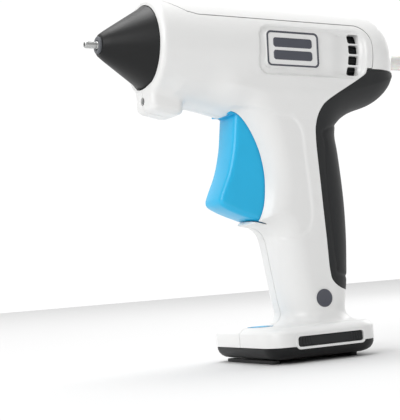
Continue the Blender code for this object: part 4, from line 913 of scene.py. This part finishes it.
# %% Materials
materials = {
    # injection-moulded ABS from a satin mould: bright, soft highlights, a trace of orange peel
    "white_abs": finish("moulded_white_abs", "#e9e9e8", 0.34, 0.9, 0.004, 0.012, 0.05,
                        Coat_Weight=0.25, Coat_Roughness=0.12, IOR=1.53),
    # glass-filled nylon from a spark-eroded mould: near black, grainy, broad highlight
    "black_nylon": finish("grained_black_nylon", "#0e0f10", 0.42, 0.5, 0.02, 0.15, 0.07, IOR=1.52,
                          Specular_IOR_Level=0.3),
    # slate-coloured ABS, moulded satin
    "slate_abs": finish("satin_slate_abs", "#4a4c55", 0.42, 0.6, 0.008, 0.06, 0.06, IOR=1.53),
    # cured silicone: grey, waxy, no sharp highlight
    "grey_silicone": finish("cured_grey_silicone", "#606266", 0.55, 0.8, 0.006, 0.05, 0.06,
                            IOR=1.41),
    # overmoulded rubber with a peened mould texture: dark grey and matt
    "dark_rubber": finish("peened_dark_rubber", "#252627", 0.62, 0.55, 0.03, 0.08, 0.07,
                          IOR=1.5, Specular_IOR_Level=0.3, Sheen_Weight=0.06,
                          Sheen_Roughness=0.5),
    # blue ABS, polished mould
    "blue_abs": finish("polished_blue_abs", "#1cb5e6", 0.32, 0.9, 0.004, 0.03, 0.05,
                       Coat_Weight=0.1, Coat_Roughness=0.1, IOR=1.5),
    # cast acrylic tinted blue: clear and bright
    "clear_blue_acrylic": finish("tinted_blue_acrylic", "#35b9ea", 0.16, 1.5, 0.002, 0.04, 0.04,
                                 IOR=1.49, Transmission_Weight=0.45),
    # nickel-plated, turned steel
    "zinc_steel": finish("plated_turned_steel", "#bfc0bf", 0.3, 0.5, 0.006, 0.06, 0.08,
                         Metallic=1.0),
    # cold-rolled spring steel
    "spring_steel": finish("rolled_spring_steel", "#a4a6a8", 0.34, 0.3, 0.006, 0.08, 0.08,
                           Metallic=1.0),
    # gravity-cast aluminium: dull skin with fine pits
    "cast_aluminium": finish("cast_aluminium_skin", "#b4b6b8", 0.5, 0.5, 0.05, 0.08, 0.1,
                             Metallic=1.0),
    # fired alumina
    "white_ceramic": finish("fired_white_ceramic", "#e9e4da", 0.6, 0.4, 0.02, 0.05, 0.06,
                            IOR=1.6),
    # unpigmented nylon: cream and slightly see-through at thin edges
    "natural_nylon": finish("unpigmented_nylon", "#e3dccb", 0.45, 0.7, 0.01, 0.04, 0.06,
                            IOR=1.53, Subsurface_Weight=0.2, Subsurface_Scale=0.002),
    # cast hot-melt adhesive: milky and clear, with a soft waxy surface
    "clear_glue": finish("cast_hot_melt_glue", "#efeeea", 0.3, 1.2, 0.012, 0.03, 0.08,
                         IOR=1.48, Transmission_Weight=0.55, Subsurface_Weight=0.25,
                         Subsurface_Scale=0.003),
    # glass-epoxy board under green lacquer
    "green_board": finish("lacquered_green_board", "#1f6b3a", 0.35, 1.1, 0.02, 0.12, 0.08,
                          IOR=1.55, Coat_Weight=0.4),
    # polished acrylic lens
    "clear_acrylic": finish("polished_clear_acrylic", "#f5f7f8", 0.1, 1.5, 0.002, 0.02, 0.03,
                            IOR=1.49, Transmission_Weight=0.85),
    # shrunk film round the battery cell
    "cell_wrap": finish("shrunk_cell_film", "#4f78b8", 0.3, 1.4, 0.008, 0.06, 0.08, IOR=1.5,
                        Coat_Weight=0.4),
    # silicone sleeving on the leads
    "red_silicone": finish("sleeved_red_silicone", "#a8322b", 0.5, 0.6, 0.006, 0.06, 0.06,
                           IOR=1.41)}
print("materials:", len(materials))

# %% [markdown]
# ## Putting it together
# Each new piece takes a finish, rides on the body whose motion it shares, and stands for the plain
# solid it replaces. The other solids keep their shape and take the same finishes.

# %% Bodies, slots and finishes
def put(piece, body, slot, *nodes):
    """Give a piece its finish, its body and the solid it stands for."""
    piece.data.materials.clear()
    piece.data.materials.append(materials[slot])
    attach(piece, body)
    if nodes:
        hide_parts(*nodes)


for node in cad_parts.values():
    slot = node.data.materials[0].name
    for socket in node.material_slots:
        socket.link = 'OBJECT'
        socket.material = materials[slot]

put(left_shell, "housing", "white_abs", "left_housing")
put(right_shell, "housing", "white_abs", "right_housing")
put(top_cover, "housing", "white_abs", "top_cover")
put(rear_cap, "housing", "white_abs", "rear_end_cap")
put(strap, "housing", "dark_rubber", "rubber_backstrap")
put(cone, "housing", "black_nylon", "nozzle_cone")
put(collar, "housing", "grey_silicone", "nozzle_collar")
put(tube, "housing", "zinc_steel", "nozzle_tip")
put(lens, "housing", "clear_acrylic", "lamp_lens")
put(ring, "housing", "clear_blue_acrylic", "indicator_ring")
put(dish, "housing", "black_nylon", "base_cover")
put(front_bar, "housing", "dark_rubber", "front_foot")
put(rear_bar, "housing", "dark_rubber", "rear_foot")
for word, made in trim.items():
    put(made["strip"], "housing", "dark_rubber", "side_strip_" + word)
    put(made["badge"][0], "housing", "slate_abs", "badge_" + word)
    put(made["badge"][1], "housing", "white_abs")
    put(made["badge"][2], "housing", "slate_abs")
    put(made["mark"], "housing", "slate_abs", "grip_mark_" + word)
    put(made["grille"], "housing", "black_nylon", "vent_grille_" + word)
put(lever, "trigger", "blue_abs", "trigger")
put(stick, "glue_stick", "clear_glue", "glue_stick")
put(button, "power_button", "blue_abs", "power_button")

# %% [markdown]
# ## Floor, light and camera
# A product picture is lit by a bright room: a large soft light above, one at each side and a pale
# floor that runs into the background.

# %% Floor, light and camera
world = bpy.data.worlds.new("studio")
bpy.context.scene.world = world
world.use_nodes = True
sky = world.node_tree
# One side of the room is a bright wall: strength rises with the dot product of ray and WALL_WAY.
WALL_WAY = (0.45, 0.89, 0.0)
ray = add_node(sky, "ShaderNodeTexCoord").outputs["Generated"]
facing = add_node(sky, "ShaderNodeVectorMath", [(0, ray)], operation='DOT_PRODUCT')
facing.inputs[1].default_value = WALL_WAY
wall = add_node(sky, "ShaderNodeMapRange", [("Value", facing.outputs["Value"])], i1=-0.3, i2=0.75,
                i3=0.5, i4=1.03)
sky.links.new(wall.outputs["Result"], sky.nodes["Background"].inputs["Strength"])
sky.nodes["Background"].inputs["Color"].default_value = hex_colour("#ffffff")
FLOOR = 1600.0
floor = new_piece("studio_floor", [(-FLOOR, -FLOOR, 0), (FLOOR, -FLOOR, 0), (FLOOR, FLOOR, 0),
                                   (-FLOOR, FLOOR, 0)], [[0, 1, 2, 3]], weld=False)
floor.data.materials.append(finish("matt_white_paper", "#d6d6d6", 0.9, 1.5, 0.02, 0.0, 0.02))


AIM = (0, 0, 0.09)


def soft_light(name, place, size, power):
    """Square soft light at a place in metres, turned towards the object."""
    light = bpy.data.lights.new(name, 'AREA')
    light.shape, light.size, light.energy = 'SQUARE', size, power
    made = bpy.data.objects.new(name, light)
    bpy.context.scene.collection.objects.link(made)
    made.location = place
    towards = Vector(AIM) - Vector(place)
    made.rotation_euler = towards.to_track_quat('-Z', 'Y').to_euler()


soft_light("top_light", (-0.2, 0.5, 2.4), 1.6, 38.0)
soft_light("left_light", (-0.85, -0.45, 0.55), 0.6, 4.6)
soft_light("rear_light", (0.7, 0.3, 0.45), 0.5, 1.2)

CAMERA_AT, LENS_MM = (-0.2644, -0.4555, 0.0411), 97.86
TURN, TILT, ROLL = radians(-26.7), radians(-3.28), radians(4.4)
across = Vector((cos(TURN), sin(TURN), 0))
up = Vector((-sin(TURN) * sin(TILT), cos(TURN) * sin(TILT), cos(TILT)))
cam_x = cos(ROLL) * across - sin(ROLL) * up
cam_y = sin(ROLL) * across + cos(ROLL) * up
camera = bpy.data.objects.new("camera", bpy.data.cameras.new("camera"))
bpy.context.scene.collection.objects.link(camera)
camera.matrix_world = Matrix.Translation(CAMERA_AT) @ Matrix(
    (cam_x, cam_y, cam_x.cross(cam_y))).transposed().to_4x4()
camera.data.lens, camera.data.sensor_width = LENS_MM, 36.0
bpy.context.scene.camera = camera
bpy.context.scene.view_settings.view_transform = 'Standard'
